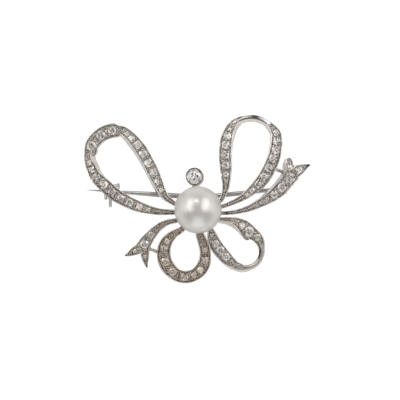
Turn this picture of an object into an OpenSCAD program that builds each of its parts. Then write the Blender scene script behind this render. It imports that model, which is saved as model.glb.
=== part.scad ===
// Bow brooch: six engraved, stone-set ribbon loops and tails round a pearl, with a bezel-set
// stone above the pearl and a hinged pin and roller catch on the back.
// It lies on its back: +Z is the front of the bow, +X its right and +Y its top.

/* [Bow] */
// Height of the ribbons' backs above the table, at the pearl
back_z = 3.6; // [3.5:0.05:4]
// Depth of a ribbon from front to back
ribbon_h = 1.4; // [1.3:0.05:1.6]
// Width of an ordinary ribbon where it is widest
ribbon_w = 2.5; // [2.3:0.05:2.7]
// Width of the polished border along each edge of a ribbon
border_w = 0.2; // [0.12:0.01:0.26]
// Depth of the engraved channel between the borders
channel_depth = 0.15; // [0.08:0.01:0.2]
// How far the end of the middle loop falls back below the pearl
droop = 3.0; // [2.4:0.1:3.4]

/* [Loops and tails] */
// Reach of the upper left loop from the pearl's middle to the left
left_loop_reach = 20.7; // [19.5:0.1:22]
// Rise of the upper left loop above the pearl's middle
left_loop_rise = 15.6; // [14.5:0.1:16.5]
// Reach of the upper right loop from the pearl's middle to the right
right_loop_reach = 15.1; // [14.5:0.1:15.6]
// Rise of the upper right loop above the pearl's middle
right_loop_rise = 17.1; // [16:0.1:18]
// Reach of the right tail from the pearl's middle
right_tail_reach = 20.3; // [19.5:0.1:21.5]
// Rise of the right tail above the pearl's middle
right_tail_rise = 9.4; // [9:0.1:10]
// Reach of the lower right loop from the pearl's middle
low_loop_reach = 12.0; // [11.4:0.1:12.8]
// Drop of the lower right loop below the pearl's middle
low_loop_drop = 11.25; // [10.7:0.05:12]
// Width across the middle loop, which hangs below the pearl
middle_loop_w = 9.8; // [9.4:0.1:10.6]
// Drop of the middle loop below the pearl's middle
middle_loop_drop = 13.2; // [12.6:0.1:14]
// Reach of the left tail from the pearl's middle
left_tail_reach = 13.2; // [12.6:0.1:14]
// Drop of the left tail below the pearl's middle
left_tail_drop = 10.55; // [10:0.05:11.2]
// Thickness of the two round struts that brace the tails
strut_d = 0.62; // [0.4:0.02:0.7]

/* [Pearl and cup] */
// Diameter of the pearl
pearl_d = 8.5; // [8:0.1:9]
// Diameter of the cup that the pearl sits in
cup_d = 5.4; // [5:0.1:5.8]
// Thickness of the cup's floor under the pearl
cup_floor = 0.9; // [0.7:0.05:1.1]
// Diameter of the peg that the drilled pearl is fixed on
peg_d = 0.8; // [0.6:0.05:1]
// Length of the peg inside the pearl
peg_l = 4.5; // [3:0.1:5]

/* [Bezel above the pearl] */
// Outside diameter of the bezel
bezel_d = 3.15; // [2.9:0.05:3.4]
// Height of the bezel
bezel_h = 2.6; // [2.2:0.1:3]
// Diameter of the stone in the bezel
bezel_stone_d = 2.45; // [2.2:0.05:2.5]
// Height of the bezel's foot above the ribbons' backs
bezel_lift = 0.3; // [0.2:0.05:0.6]
// Space between the bezel and the pearl, seen from the front
bezel_space = 0.25; // [0.15:0.05:0.5]
// Lean of the bezel away from the pearl, in degrees
bezel_lean = 10; // [4:1:14]

/* [Pin and hinge] */
// Diameter of the pin stem where cloth gathers on it
stem_d = 0.96; // [0.8:0.02:1]
// Length of that straight stretch
stem_straight = 8; // [6:0.5:9]
// Diameter of the stem where it passes through the catch
stem_catch_d = 0.52; // [0.4:0.02:0.6]
// Diameter of the stem at the hinge
stem_root_d = 0.72; // [0.6:0.02:0.8]
// Length of the point beyond the catch
point_l = 4.6; // [3.5:0.1:5]
// How far the stem bows out of the straight line from hinge to catch
stem_bow = 1.3; // [0.8:0.05:1.6]
// Outside diameter of the stem's eye
eye_d = 1.6; // [1.5:0.05:1.75]
// Width of the stem's eye
eye_w = 0.8; // [0.7:0.05:1]
// Diameter of the hinge rivet
rivet_d = 0.76; // [0.6:0.02:0.8]
// Diameter of the hinge lugs
lug_d = 2.0; // [1.8:0.1:2.3]
// Thickness of each hinge lug
lug_t = 0.4; // [0.35:0.05:0.5]

/* [Catch] */
// Outside diameter of the catch's two cheeks, which the brooch lies on
cheek_d = 3.1; // [2.95:0.05:3.2]
// Thickness of each cheek
cheek_t = 0.5; // [0.4:0.05:0.6]
// Outside diameter of the roller between the cheeks
roller_d = 2.8; // [2.5:0.05:2.85]
// Length of the roller between the cheeks
roller_l = 1.7; // [1.4:0.05:2]
// Diameter of the roller's ends, which turn in the cheeks
journal_d = 1.9; // [1.7:0.05:2]
// Bore of the roller, round the pin
roller_bore = 1.0; // [0.9:0.02:1.1]
// Width of the slot that the pin swings through
slot_w = 0.84; // [0.8:0.02:0.9]
// Reach of the thumb tab from the roller's axis
tab_reach = 2.9; // [2.6:0.1:3.2]
// Thickness of the thumb tab
tab_t = 0.5; // [0.4:0.02:0.6]
// Width of the thumb tab
tab_w = 0.58; // [0.5:0.02:0.9]
// Place of the thumb tab, off the roller's middle towards the pin's point
tab_aside = 0.3; // [0:0.05:0.4]

/* [Fits] */
// Space between the stone and its seat
stone_gap = 0.06; // [0.04:0.01:0.08]
// Space between the pearl and its cup and peg
pearl_gap = 0.05; // [0.03:0.01:0.08]
// Running space round the rivet and the roller's ends
running_gap = 0.04; // [0.03:0.005:0.06]
// Space beside the eye, the roller and the rivet's heads
side_gap = 0.05; // [0.03:0.01:0.08]

/* [Hidden] */
metal_colour = "#8f877e";
polished_colour = "#b9b7b3";
stone_colour = "#dcdcdc";
pearl_colour = "#f1ece1";

// The pearl's middle, measured from the middle of the brooch's outline
pearl_x = 0.17;
pearl_y = -1.92;

// A ribbon's table has a row for each section along it: its place across and up, as shares of
// the ribbon's own reach and rise, how far its front falls back, as a share of the droop, its
// width as a share of ribbon_w, and the lean of its front to the left of its run, in degrees.
// A row may have one more number: how far its section is turned in plan, in degrees.
ACROSS = 0;
UP = 1;
FALL = 2;
WIDTH = 3;
LEAN = 4;
SKEW = 5;

left_loop_low = [
    [-0.109, -0.035, 0.00, 0.36, 0],
    [-0.200, -0.030, 0.00, 0.38, 0],
    [-0.330, -0.023, 0.02, 0.50, 0],
    [-0.426, 0.000, 0.04, 0.63, 0],
    [-0.522, 0.040, 0.06, 0.80, -2],
    [-0.617, 0.097, 0.08, 0.86, -3],
    [-0.713, 0.170, 0.10, 0.94, -2],
    [-0.797, 0.265, 0.12, 0.97, 0],
    [-0.890, 0.378, 0.18, 0.89, 12],
    [-0.931, 0.477, 0.24, 0.84, 25],
    [-0.957, 0.557, 0.29, 0.74, 34],
    [-0.963, 0.623, 0.32, 0.69, 36],
    [-0.957, 0.702, 0.34, 0.70, 34]
];
left_loop_fold = [
    [-0.959, 0.615, 0.26, 0.58, 4],
    [-0.934, 0.680, 0.26, 0.98, 2],
    [-0.919, 0.753, 0.27, 1.04, 0],
    [-0.880, 0.821, 0.27, 1.05, 0],
    [-0.824, 0.879, 0.27, 1.08, 0],
    [-0.757, 0.911, 0.27, 1.08, 0],
    [-0.708, 0.914, 0.27, 0.98, 2],
    [-0.674, 0.925, 0.27, 0.58, 4]
];
left_loop_high = [
    [-0.696, 0.921, 0.38, 0.72, 10],
    [-0.652, 0.909, 0.36, 0.72, 12],
    [-0.606, 0.870, 0.33, 0.75, 18],
    [-0.554, 0.797, 0.31, 0.86, 17],
    [-0.504, 0.713, 0.29, 0.92, 15],
    [-0.459, 0.616, 0.26, 0.91, 14],
    [-0.418, 0.515, 0.23, 0.90, 13],
    [-0.381, 0.413, 0.19, 0.86, 12],
    [-0.348, 0.315, 0.15, 0.78, 12],
    [-0.315, 0.222, 0.11, 0.63, 10],
    [-0.280, 0.150, 0.07, 0.47, 6],
    [-0.235, 0.099, 0.04, 0.39, 0],
    [-0.183, 0.055, 0.01, 0.30, 0],
    [-0.117, 0.027, 0.00, 0.26, 0]
];
right_loop_rise_side = [
    [0.155, 0.021, 0.00, 0.27, 0],
    [0.269, 0.097, 0.02, 0.32, 0],
    [0.310, 0.171, 0.05, 0.40, 0],
    [0.331, 0.251, 0.08, 0.55, 2],
    [0.333, 0.345, 0.12, 0.71, 4],
    [0.328, 0.451, 0.16, 0.87, 6],
    [0.323, 0.556, 0.20, 0.94, 6],
    [0.326, 0.661, 0.24, 0.93, 8],
    [0.340, 0.756, 0.27, 0.90, 14],
    [0.373, 0.842, 0.30, 0.78, 20],
    [0.420, 0.907, 0.32, 0.64, 25],
    [0.467, 0.947, 0.33, 0.49, 28]
];
right_loop_turn = [
    [0.422, 0.916, 0.38, 0.46, 26],
    [0.488, 0.958, 0.37, 0.38, 28],
    [0.565, 0.978, 0.38, 0.33, 28],
    [0.650, 0.983, 0.39, 0.31, 28],
    [0.731, 0.971, 0.38, 0.33, 28],
    [0.801, 0.941, 0.37, 0.33, 26],
    [0.862, 0.901, 0.38, 0.34, 22]
];
right_loop_fall_side = [
    [0.842, 0.917, 0.34, 0.40, 22],
    [0.929, 0.812, 0.32, 0.73, 10],
    [0.940, 0.724, 0.30, 0.86, 8],
    [0.931, 0.645, 0.28, 0.90, 6],
    [0.912, 0.568, 0.26, 0.93, 4],
    [0.882, 0.495, 0.24, 0.96, 2],
    [0.841, 0.421, 0.21, 0.95, -2],
    [0.790, 0.346, 0.18, 0.92, -4],
    [0.730, 0.276, 0.15, 0.86, -2],
    [0.656, 0.216, 0.12, 0.72, 0],
    [0.580, 0.158, 0.09, 0.57, 0],
    [0.491, 0.108, 0.06, 0.43, 0],
    [0.380, 0.064, 0.03, 0.36, 0],
    [0.279, 0.031, 0.01, 0.32, 0],
    [0.161, 0.001, 0.00, 0.29, 0]
];
right_tail = [
    [0.115, -0.061, 0.00, 0.29, 0],
    [0.204, -0.065, 0.01, 0.30, 0],
    [0.293, -0.056, 0.02, 0.32, 0],
    [0.381, -0.021, 0.03, 0.39, 0],
    [0.461, 0.034, 0.05, 0.49, -2],
    [0.542, 0.115, 0.06, 0.61, -5],
    [0.622, 0.211, 0.07, 0.77, -9],
    [0.692, 0.319, 0.08, 0.95, -13],
    [0.751, 0.437, 0.10, 1.05, -16],
    [0.802, 0.567, 0.16, 1.10, -20],
    [0.844, 0.692, 0.22, 1.22, -24]
];
right_tail_inner_point = [
    [0.822, 0.690, 0.22, 0.72, -25],
    [0.816, 0.830, 0.26, 0.74, -26],
    [0.811, 0.925, 0.29, 0.58, -25],
    [0.803, 0.998, 0.31, 0.30, -20]
];
right_tail_outer_point = [
    [0.856, 0.690, 0.23, 0.84, -14],
    [0.900, 0.765, 0.26, 0.78, -6],
    [0.948, 0.821, 0.30, 0.48, 0],
    [0.998, 0.864, 0.34, 0.06, 0]
];
low_loop_fold = [
    [0.180, -0.123, 0.00, 0.24, 0],
    [0.331, -0.146, 0.04, 0.29, 18],
    [0.451, -0.154, 0.08, 0.42, 22],
    [0.574, -0.192, 0.15, 0.72, 18],
    [0.682, -0.262, 0.24, 1.00, 10],
    [0.759, -0.350, 0.32, 1.18, 4, -5],
    [0.805, -0.408, 0.37, 1.24, 0, -25],
    [0.861, -0.442, 0.41, 1.00, -2, -36],
    [0.904, -0.487, 0.46, 0.80, -4, -27],
    [0.937, -0.554, 0.51, 0.58, -6, -14],
    [0.954, -0.631, 0.55, 0.42, -8, -5]
];
low_loop_turn = [
    [0.935, -0.556, 0.53, 0.50, -6],
    [0.954, -0.641, 0.58, 0.42, -8],
    [0.944, -0.732, 0.62, 0.36, -8],
    [0.904, -0.819, 0.67, 0.34, -10],
    [0.840, -0.881, 0.70, 0.33, -14],
    [0.757, -0.913, 0.72, 0.34, -20],
    [0.675, -0.920, 0.74, 0.42, -22],
    [0.600, -0.902, 0.74, 0.48, -20]
];
low_loop_return = [
    [0.684, -0.928, 0.70, 0.50, -20],
    [0.573, -0.887, 0.66, 0.65, -14],
    [0.478, -0.822, 0.60, 0.83, -8],
    [0.393, -0.737, 0.52, 0.94, -2],
    [0.319, -0.644, 0.43, 0.98, 0],
    [0.256, -0.537, 0.33, 0.91, 0],
    [0.215, -0.422, 0.22, 0.71, 0],
    [0.191, -0.323, 0.12, 0.45, 0],
    [0.128, -0.171, 0.01, 0.36, 0]
];
middle_loop = [
    [-0.020, -0.173, 0.00, 0.50, 0],
    [0.036, -0.336, 0.10, 0.60, 0],
    [0.086, -0.438, 0.25, 0.72, 0],
    [0.125, -0.533, 0.42, 0.79, 0],
    [0.134, -0.635, 0.58, 0.82, 0],
    [0.110, -0.737, 0.74, 0.91, 0],
    [0.037, -0.830, 0.88, 0.94, 0],
    [-0.081, -0.897, 0.97, 0.89, 0],
    [-0.221, -0.922, 1.00, 0.91, 0],
    [-0.361, -0.902, 0.97, 0.92, -3],
    [-0.490, -0.837, 0.88, 0.99, -4],
    [-0.584, -0.741, 0.76, 1.02, -3],
    [-0.628, -0.629, 0.62, 0.99, 0],
    [-0.619, -0.520, 0.48, 0.94, 0],
    [-0.560, -0.419, 0.34, 0.81, 0],
    [-0.453, -0.337, 0.21, 0.63, 0],
    [-0.308, -0.269, 0.10, 0.47, 0],
    [-0.129, -0.159, 0.00, 0.36, 0]
];
left_tail = [
    [-0.164, -0.123, 0.00, 0.33, 0],
    [-0.293, -0.181, 0.02, 0.38, 0],
    [-0.402, -0.210, 0.05, 0.43, 0],
    [-0.505, -0.270, 0.10, 0.55, 0],
    [-0.592, -0.362, 0.17, 0.66, 0],
    [-0.664, -0.468, 0.25, 0.79, 0],
    [-0.727, -0.576, 0.34, 0.95, 0],
    [-0.772, -0.683, 0.42, 1.13, 0]
];
left_tail_side_point = [
    [-0.768, -0.655, 0.42, 0.72, 0],
    [-0.855, -0.698, 0.47, 0.70, 0],
    [-0.934, -0.752, 0.52, 0.42, 0],
    [-1.000, -0.787, 0.56, 0.07, 0]
];
left_tail_low_point = [
    [-0.723, -0.669, 0.42, 0.65, 0],
    [-0.724, -0.780, 0.50, 0.61, 0],
    [-0.713, -0.893, 0.57, 0.37, 0],
    [-0.694, -1.000, 0.62, 0.06, 0]
];

// Sections of a ribbon in millimetres, from its table
front_z = back_z + ribbon_h;
function sections(table, reach, rise) = [
    for (row = table)
        [row[ACROSS] * reach, row[UP] * rise, front_z - row[FALL] * droop, row[WIDTH] * ribbon_w,
         row[LEAN], len(row) > SKEW ? row[SKEW] : 0]
];

// Every ribbon: its name, its sections, and its main and small stones. A stone is its station
// along the ribbon, counted in sections, its diameter as a share of the ribbon's width there,
// and its offset from the ribbon's middle line as a share of that width.
NAME = 0;
PATH = 1;
MAIN = 2;
SMALL = 3;
ribbons = [
    ["left_loop_low", sections(left_loop_low, left_loop_reach, left_loop_rise),
     [[4.75, 0.67, 0], [5.55, 0.63, 0], [6.42, 0.64, 0], [7.25, 0.64, 0], [7.97, 0.65, 0]],
     [[3.05, 0.51, 0], [3.87, 0.62, 0], [8.83, 0.56, 0], [9.75, 0.52, 0]]],
    ["left_loop_fold", sections(left_loop_fold, left_loop_reach, left_loop_rise),
     [[1.75, 0.70, 0], [3.65, 0.64, 0], [5.2, 0.58, 0]], []],
    ["left_loop_high", sections(left_loop_high, left_loop_reach, left_loop_rise),
     [[2.62, 0.64, 0], [3.58, 0.66, 0], [4.65, 0.68, 0], [5.75, 0.68, 0], [6.85, 0.70, 0],
      [7.9, 0.66, 0]],
     [[1.7, 0.54, 0], [8.9, 0.56, 0]]],
    ["right_loop_rise", sections(right_loop_rise_side, right_loop_reach, right_loop_rise),
     [[5.18, 0.64, 0], [6.2, 0.65, 0], [7.23, 0.65, 0], [8.25, 0.64, 0]],
     [[3.6, 0.4, 0], [4.3, 0.55, 0], [9.1, 0.4, 0]]],
    ["right_loop_turn", sections(right_loop_turn, right_loop_reach, right_loop_rise), [], []],
    ["right_loop_fall", sections(right_loop_fall_side, right_loop_reach, right_loop_rise),
     [[3.15, 0.68, 0], [4.4, 0.66, -0.04], [5.75, 0.66, -0.06], [7.0, 0.63, -0.06],
      [8.15, 0.63, -0.04]],
     [[1, 0.62, 0], [2, 0.64, 0], [9.15, 0.6, 0], [10, 0.55, 0]]],
    ["right_tail", sections(right_tail, right_tail_reach, right_tail_rise),
     [[6.78, 0.62, 0], [7.93, 0.65, 0], [9.3, 0.70, -0.02]],
     [[4.6, 0.36, 0], [5.2, 0.36, 0], [5.93, 0.36, 0]]],
    ["right_tail_inner_point",
     sections(right_tail_inner_point, right_tail_reach, right_tail_rise), [],
     [[0.85, 0.64, -0.04]]],
    ["right_tail_outer_point",
     sections(right_tail_outer_point, right_tail_reach, right_tail_rise),
     [[0.98, 0.66, 0]], []],
    ["low_loop_fold", sections(low_loop_fold, low_loop_reach, low_loop_drop),
     [[5.08, 0.64, 0.04], [7.3, 0.53, 0.12]], [[3.85, 0.50, 0]]],
    ["low_loop_turn", sections(low_loop_turn, low_loop_reach, low_loop_drop), [], []],
    ["low_loop_return", sections(low_loop_return, low_loop_reach, low_loop_drop),
     [[2.7, 0.65, -0.07], [3.8, 0.66, -0.07], [4.9, 0.59, -0.05]], [[6.1, 0.37, 0]]],
    ["middle_loop", sections(middle_loop, middle_loop_w, middle_loop_drop),
     [[4.6, 0.64, 0], [8.2, 0.65, 0], [9.8, 0.65, 0], [11.25, 0.66, 0], [12.78, 0.65, 0]],
     [[3.15, 0.5, 0], [5.95, 0.5, 0], [6.95, 0.48, 0], [13.85, 0.48, 0]]],
    ["left_tail", sections(left_tail, left_tail_reach, left_tail_drop),
     [[4.65, 0.66, 0], [6.1, 0.67, 0]], []],
    ["left_tail_side_point",
     sections(left_tail_side_point, left_tail_reach, left_tail_drop), [], [[1.1, 0.43, 0]]],
    ["left_tail_low_point",
     sections(left_tail_low_point, left_tail_reach, left_tail_drop), [], [[1.2, 0.42, 0]]]
];
function path_of(name) = [for (ribbon = ribbons) if (ribbon[NAME] == name) ribbon[PATH]][0];

function unit(v) = v / norm(v);

// A section of a path, with the path carried on past its ends
function row_at(path, i) =
    i < 0 ? 2 * path[0] - path[-i]
    : i > len(path) - 1 ? 2 * path[len(path) - 1] - path[2 * len(path) - 2 - i]
    : path[i];

// The section at a station between two rows, on a smooth curve through the rows
function at(path, s) =
    let (i = max(0, min(floor(s), len(path) - 2)), u = s - i,
         a = row_at(path, i - 1), b = row_at(path, i),
         c = row_at(path, i + 1), d = row_at(path, i + 2))
    b + u * (c - a + u * (2 * a - 5 * b + 4 * c - d + u * (3 * b - 3 * c + d - a))) / 2;

function place_at(path, s) = let (p = at(path, s)) [p[0], p[1], p[2]];
function width_at(path, s) = at(path, s)[3];

// The directions at a station: across the ribbon, back along it, and out of its front
function frame_at(path, s) =
    let (run = unit(place_at(path, s + 0.02) - place_at(path, s - 0.02)),
         lean = at(path, s)[4], skew = at(path, s)[5], side = unit([-run.y, run.x, 0]),
         left = cos(skew) * side + sin(skew) * [-side.y, side.x, 0],
         up = unit(cross(run, left)))
    [cos(lean) * left - sin(lean) * up, cross(up, left), sin(lean) * left + cos(lean) * up];

// A ribbon's cross-section: a band with a raised, bevelled border along each edge of its front
function band(w) =
    let (rim = min(border_w, 0.25 * w))
    [[-w / 2, -ribbon_h], [w / 2, -ribbon_h], [w / 2, 0], [w / 2 - rim, -channel_depth],
     [rim - w / 2, -channel_depth], [-w / 2, 0]];

module ribbon(path) {
    stations = [for (s = [0 : 0.5 : len(path) - 1]) s];
    n = len(band(1));
    rings = len(stations);
    polyhedron(
        points = [
            for (s = stations)
                let (p = place_at(path, s), f = frame_at(path, s))
                for (q = band(width_at(path, s))) p + q[0] * f[0] + q[1] * f[2]
        ],
        faces = concat(
            [[for (k = [0 : n - 1]) k]],
            [[for (k = [n - 1 : -1 : 0]) (rings - 1) * n + k]],
            [
                for (r = [0 : rings - 2])
                    for (k = [0 : n - 1])
                        [r * n + k, (r + 1) * n + k, (r + 1) * n + (k + 1) % n, r * n + (k + 1) % n]
            ]
        )
    );
}

// Children are put on a ribbon's channel floor, facing out of its front
module on_ribbon(path, s, offset) {
    f = frame_at(path, s);
    p = place_at(path, s) + offset * width_at(path, s) * f[0] - channel_depth * f[2];
    multmatrix([
        [f[0].x, f[1].x, f[2].x, p.x],
        [f[0].y, f[1].y, f[2].y, p.y],
        [f[0].z, f[1].z, f[2].z, p.z],
        [0, 0, 0, 1]
    ]) children();
}

// A cut stone with its girdle's top at z = 0: a table, a crown and a pointed pavilion
crown = 0.3;
girdle = 0.06;
pavilion = 0.8;
table = 0.56;
module cut_stone(d, sides = 8) {
    r = d / 2;
    points = concat(
        [for (k = [0 : sides - 1]) r * [table * cos(360 * (k + 0.5) / sides),
                                        table * sin(360 * (k + 0.5) / sides), crown]],
        [for (k = [0 : sides - 1]) r * [cos(360 * k / sides), sin(360 * k / sides), 0]],
        [for (k = [0 : sides - 1]) r * [cos(360 * k / sides), sin(360 * k / sides), -girdle]],
        [r * [0, 0, -girdle - pavilion]]
    );
    polyhedron(
        points = points,
        faces = concat(
            [[for (k = [sides - 1 : -1 : 0]) k]],
            [for (k = [0 : sides - 1]) [k, (k + 1) % sides, sides + (k + 1) % sides]],
            [for (k = [0 : sides - 1]) [k, sides + (k + 1) % sides, sides + k]],
            [
                for (k = [0 : sides - 1])
                    [sides + k, sides + (k + 1) % sides, 2 * sides + (k + 1) % sides, 2 * sides + k]
            ],
            [for (k = [0 : sides - 1]) [2 * sides + k, 2 * sides + (k + 1) % sides, 3 * sides]]
        )
    );
}

// The space cut for a stone: its shape with the fitting gap, open to the front
module seat(d, sides = 8) {
    r = d / 2;
    hull() {
        translate([0, 0, -girdle * r])
            cylinder(r = r + stone_gap, h = channel_depth + girdle * r + 0.3, $fn = sides);
        translate([0, 0, -(girdle + pavilion) * r - 1.3 * stone_gap])
            cylinder(r1 = 0, r2 = r, h = pavilion * r, $fn = sides);
    }
}

pearl_r = pearl_d / 2;
bezel_angle = 96.3;
bezel_lean_angle = 125;
bezel_recess = 0.35;
cup_lip = 0.2;
pearl_z = front_z + sqrt(pow(pearl_r + pearl_gap, 2) - pow(cup_d / 2 - cup_lip, 2));
cup_foot_z = pearl_z - pearl_r - pearl_gap - cup_floor;
bezel_at = (pearl_r + bezel_space + bezel_d / 2) * [cos(bezel_angle), sin(bezel_angle), 0]
    + [0, 0, back_z + bezel_lift + bezel_h];

// The pin lies in a plane behind the ribbons, and the catch and hinge hang from two of them
pin_z = sqrt(pow(cheek_d / 2, 2) - pow(slot_w / 2, 2));
catch_ribbon = path_of("left_loop_low");
catch_station = 6.45;
hinge_ribbon = path_of("right_tail");
hinge_station = 7.75;
hinge_aside = -0.03;
function under(path, s, aside, z) =
    let (p = place_at(path, s) + aside * width_at(path, s) * frame_at(path, s)[0]) [p.x, p.y, z];
catch_at = under(catch_ribbon, catch_station, 0, pin_z);
hinge_at = under(hinge_ribbon, hinge_station, hinge_aside, pin_z);
catch_neck_z = place_at(catch_ribbon, catch_station).z - ribbon_h + 0.3;
hinge_neck_z = place_at(hinge_ribbon, hinge_station).z - ribbon_h + 0.3;
bend_share = 0.47;
bend_at = hinge_at + bend_share * (catch_at - hinge_at) - [0, stem_bow, 0];
lug_gap = eye_w + 2 * side_gap;
cheek_gap = roller_l + 2 * side_gap;

// Every node sits about the middle of the brooch's outline
module placed() {
    translate([pearl_x, pearl_y, 0]) children();
}

// Children stand at the bezel's top, in its own direction
module at_bezel() {
    translate(bezel_at)
        rotate([0, 0, bezel_lean_angle]) rotate([0, bezel_lean, 0])
            rotate([0, 0, -bezel_lean_angle]) children();
}

module cup() {
    depth = front_z - cup_foot_z;
    translate([0, 0, cup_foot_z]) {
        cylinder(d1 = cup_d - 0.8, d2 = cup_d, h = 0.4, $fn = 40);
        translate([0, 0, 0.4]) cylinder(d = cup_d, h = depth - 0.4, $fn = 40);
    }
}

module bezel() {
    at_bezel() translate([0, 0, -bezel_h]) {
        cylinder(d1 = bezel_d - 0.5, d2 = bezel_d, h = 0.5, $fn = 24);
        translate([0, 0, 0.5]) cylinder(d = bezel_d, h = bezel_h - 0.5, $fn = 24);
    }
    // the stem that carries it from the cup
    hull() {
        translate([0, 0, back_z - 0.1]) cylinder(d = 1.2, h = 1, $fn = 16);
        translate([bezel_at.x * 0.93, bezel_at.y * 0.93, back_z - 0.1])
            cylinder(d = 1.2, h = 1, $fn = 16);
    }
}

module strut(path_a, s_a, path_b, s_b) {
    middle = [0, 0, -0.5 * ribbon_h];
    from = place_at(path_a, s_a) + middle;
    to = place_at(path_b, s_b) + middle;
    towards(from, to) cylinder(d = strut_d, h = norm(to - from), $fn = 12);
}

// The ribbons, cup and bezel, soldered into one piece of metal
module bow() {
    color(metal_colour) placed() {
        difference() {
            union() {
                for (r = ribbons) ribbon(r[PATH]);
                cup();
                bezel();
                strut(path_of("right_loop_fall"), 5.6, path_of("right_tail"), 9.7);
                strut(path_of("left_tail"), 6.5, path_of("middle_loop"), 12.2);
            }
            for (r = ribbons)
                for (s = concat(r[MAIN], r[SMALL]))
                    on_ribbon(r[PATH], s[0], s[2]) seat(s[1] * width_at(r[PATH], s[0]));
            translate([0, 0, pearl_z]) sphere(r = pearl_r + pearl_gap, $fn = 40);
            at_bezel() translate([0, 0, -bezel_recess]) seat(bezel_stone_d, 12);
        }
        translate([0, 0, cup_foot_z + 0.3])
            cylinder(d = peg_d, h = cup_floor - 0.3 + pearl_gap + peg_l, $fn = 24);
    }
}

// The two cheeks of the catch, with the bore that the roller turns in and the pin's slot
module cheeks() {
    translate(catch_at) difference() {
        for (side = [-1, 1])
            translate([side * (cheek_gap + cheek_t) / 2, 0, 0]) {
                rotate([0, 90, 0]) cylinder(d = cheek_d, h = cheek_t, center = true, $fn = 96);
                translate([-cheek_t / 2, -0.4, 0])
                    cube([cheek_t, 0.8, catch_neck_z - pin_z]);
            }
        rotate([0, 90, 0])
            cylinder(d = journal_d + 2 * running_gap, h = cheek_gap + 4 * cheek_t,
                     center = true, $fn = 96);
        translate([-cheek_gap, -slot_w / 2, -cheek_d])
            cube([2 * cheek_gap, slot_w, cheek_d]);
    }
}

// The two lugs of the hinge, bored for the rivet
module lugs() {
    neck = 0.66 * lug_d;
    translate(hinge_at) difference() {
        for (side = [-1, 1])
            translate([0, side * (lug_gap + lug_t) / 2, 0]) {
                rotate([90, 0, 0]) cylinder(d = lug_d, h = lug_t, center = true, $fn = 48);
                translate([-neck / 2, -lug_t / 2, 0])
                    cube([neck, lug_t, hinge_neck_z - pin_z]);
            }
        rotate([90, 0, 0])
            cylinder(d = rivet_d + 2 * running_gap, h = lug_gap + 4 * lug_t, center = true,
                     $fn = 32);
    }
}

module findings() {
    color(metal_colour) placed() {
        cheeks();
        lugs();
    }
}

module pearl() {
    color(pearl_colour) placed()
        difference() {
            translate([0, 0, pearl_z]) sphere(r = pearl_r, $fn = 64);
            translate([0, 0, pearl_z - pearl_r - peg_l])
                cylinder(d = peg_d + 2 * pearl_gap, h = 2 * peg_l + 3 * pearl_gap, $fn = 24);
        }
}

module bezel_stone() {
    color(stone_colour) placed() at_bezel() translate([0, 0, -bezel_recess])
        cut_stone(bezel_stone_d, 12);
}

module ribbon_stone(path, s) {
    color(stone_colour) placed() on_ribbon(path, s[0], s[2])
        cut_stone(s[1] * width_at(path, s[0]));
}

module small_stones() {
    for (r = ribbons)
        for (s = r[SMALL]) ribbon_stone(r[PATH], s);
}

// Children point along +Z from one point to another
module towards(from, to) {
    way = to - from;
    translate(from) rotate([0, acos(way.z / norm(way)), atan2(way.y, way.x)]) children();
}

module pin_stem() {
    to_catch = norm(catch_at - bend_at);
    color(polished_colour) placed() difference() {
        union() {
            translate(hinge_at) rotate([90, 0, 0])
                cylinder(d = eye_d, h = eye_w, center = true, $fn = 48);
            towards(hinge_at, bend_at)
                cylinder(d1 = stem_root_d, d2 = stem_d, h = norm(bend_at - hinge_at), $fn = 32);
            translate(bend_at) sphere(d = 1.04 * stem_d, $fn = 32);
            towards(bend_at, catch_at) rotate_extrude($fn = 32)
                polygon([
                    [0, 0], [stem_d / 2, 0], [stem_d / 2, stem_straight],
                    [stem_catch_d / 2, to_catch], [0.4 * stem_catch_d, to_catch + 0.4 * point_l],
                    [0.05, to_catch + point_l - 0.03], [0.02, to_catch + point_l],
                    [0, to_catch + point_l]
                ]);
        }
        translate(hinge_at) rotate([90, 0, 0])
            cylinder(d = rivet_d + 2 * running_gap, h = 2 * eye_w, center = true, $fn = 32);
    }
}

module hinge_rivet() {
    outside = lug_gap + 2 * lug_t + 2 * side_gap;
    color(polished_colour) placed() translate(hinge_at) rotate([90, 0, 0]) {
        cylinder(d = rivet_d, h = outside + 0.2, center = true, $fn = 32);
        for (side = [-1, 1])
            translate([0, 0, side * (outside / 2 + 0.08)])
                cylinder(d = rivet_d + 0.36, h = 0.16, center = true, $fn = 32);
    }
}

module catch_roller() {
    color(polished_colour) placed() translate(catch_at) difference() {
        union() {
            rotate([0, 90, 0]) cylinder(d = roller_d, h = roller_l, center = true, $fn = 96);
            rotate([0, 90, 0])
                cylinder(d = journal_d, h = cheek_gap + 2 * cheek_t, center = true, $fn = 96);
            translate([-tab_w / 2 - tab_aside, tab_t / 2 - tab_reach, -tab_t / 2])
                cube([tab_w, tab_reach - roller_d / 2, tab_t]);
            translate([-tab_aside, tab_t / 2 - tab_reach, 0]) rotate([0, 90, 0])
                cylinder(d = tab_t, h = tab_w, center = true, $fn = 64);
        }
        rotate([0, 90, 0])
            cylinder(d = roller_bore, h = 3 * cheek_gap, center = true, $fn = 64);
        translate([-1.5 * cheek_gap, -slot_w / 2, -roller_d])
            cube([3 * cheek_gap, slot_w, roller_d]);
    }
}

function stone_name(r, k) = str(r[NAME], "_stone_", k + 1);

bow();  // bow_frame
findings();  // bow_frame
pearl();
bezel_stone();
for (r = ribbons)
    for (k = [0 : 1 : len(r[MAIN]) - 1])
        ribbon_stone(r[PATH], r[MAIN][k]);
small_stones();
pin_stem();
hinge_rivet();
catch_roller();
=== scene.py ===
# %% [markdown]
# # A bow brooch, dressed
# The brooch is a bow of stone-set metal ribbons round a pearl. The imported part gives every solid
# its place. This lesson puts finer surfaces over those solids: engraved ribbon fronts, cut
# stones, a lustrous pearl and polished fittings. All lengths in the tables are millimetres.

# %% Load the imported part
import math

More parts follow.
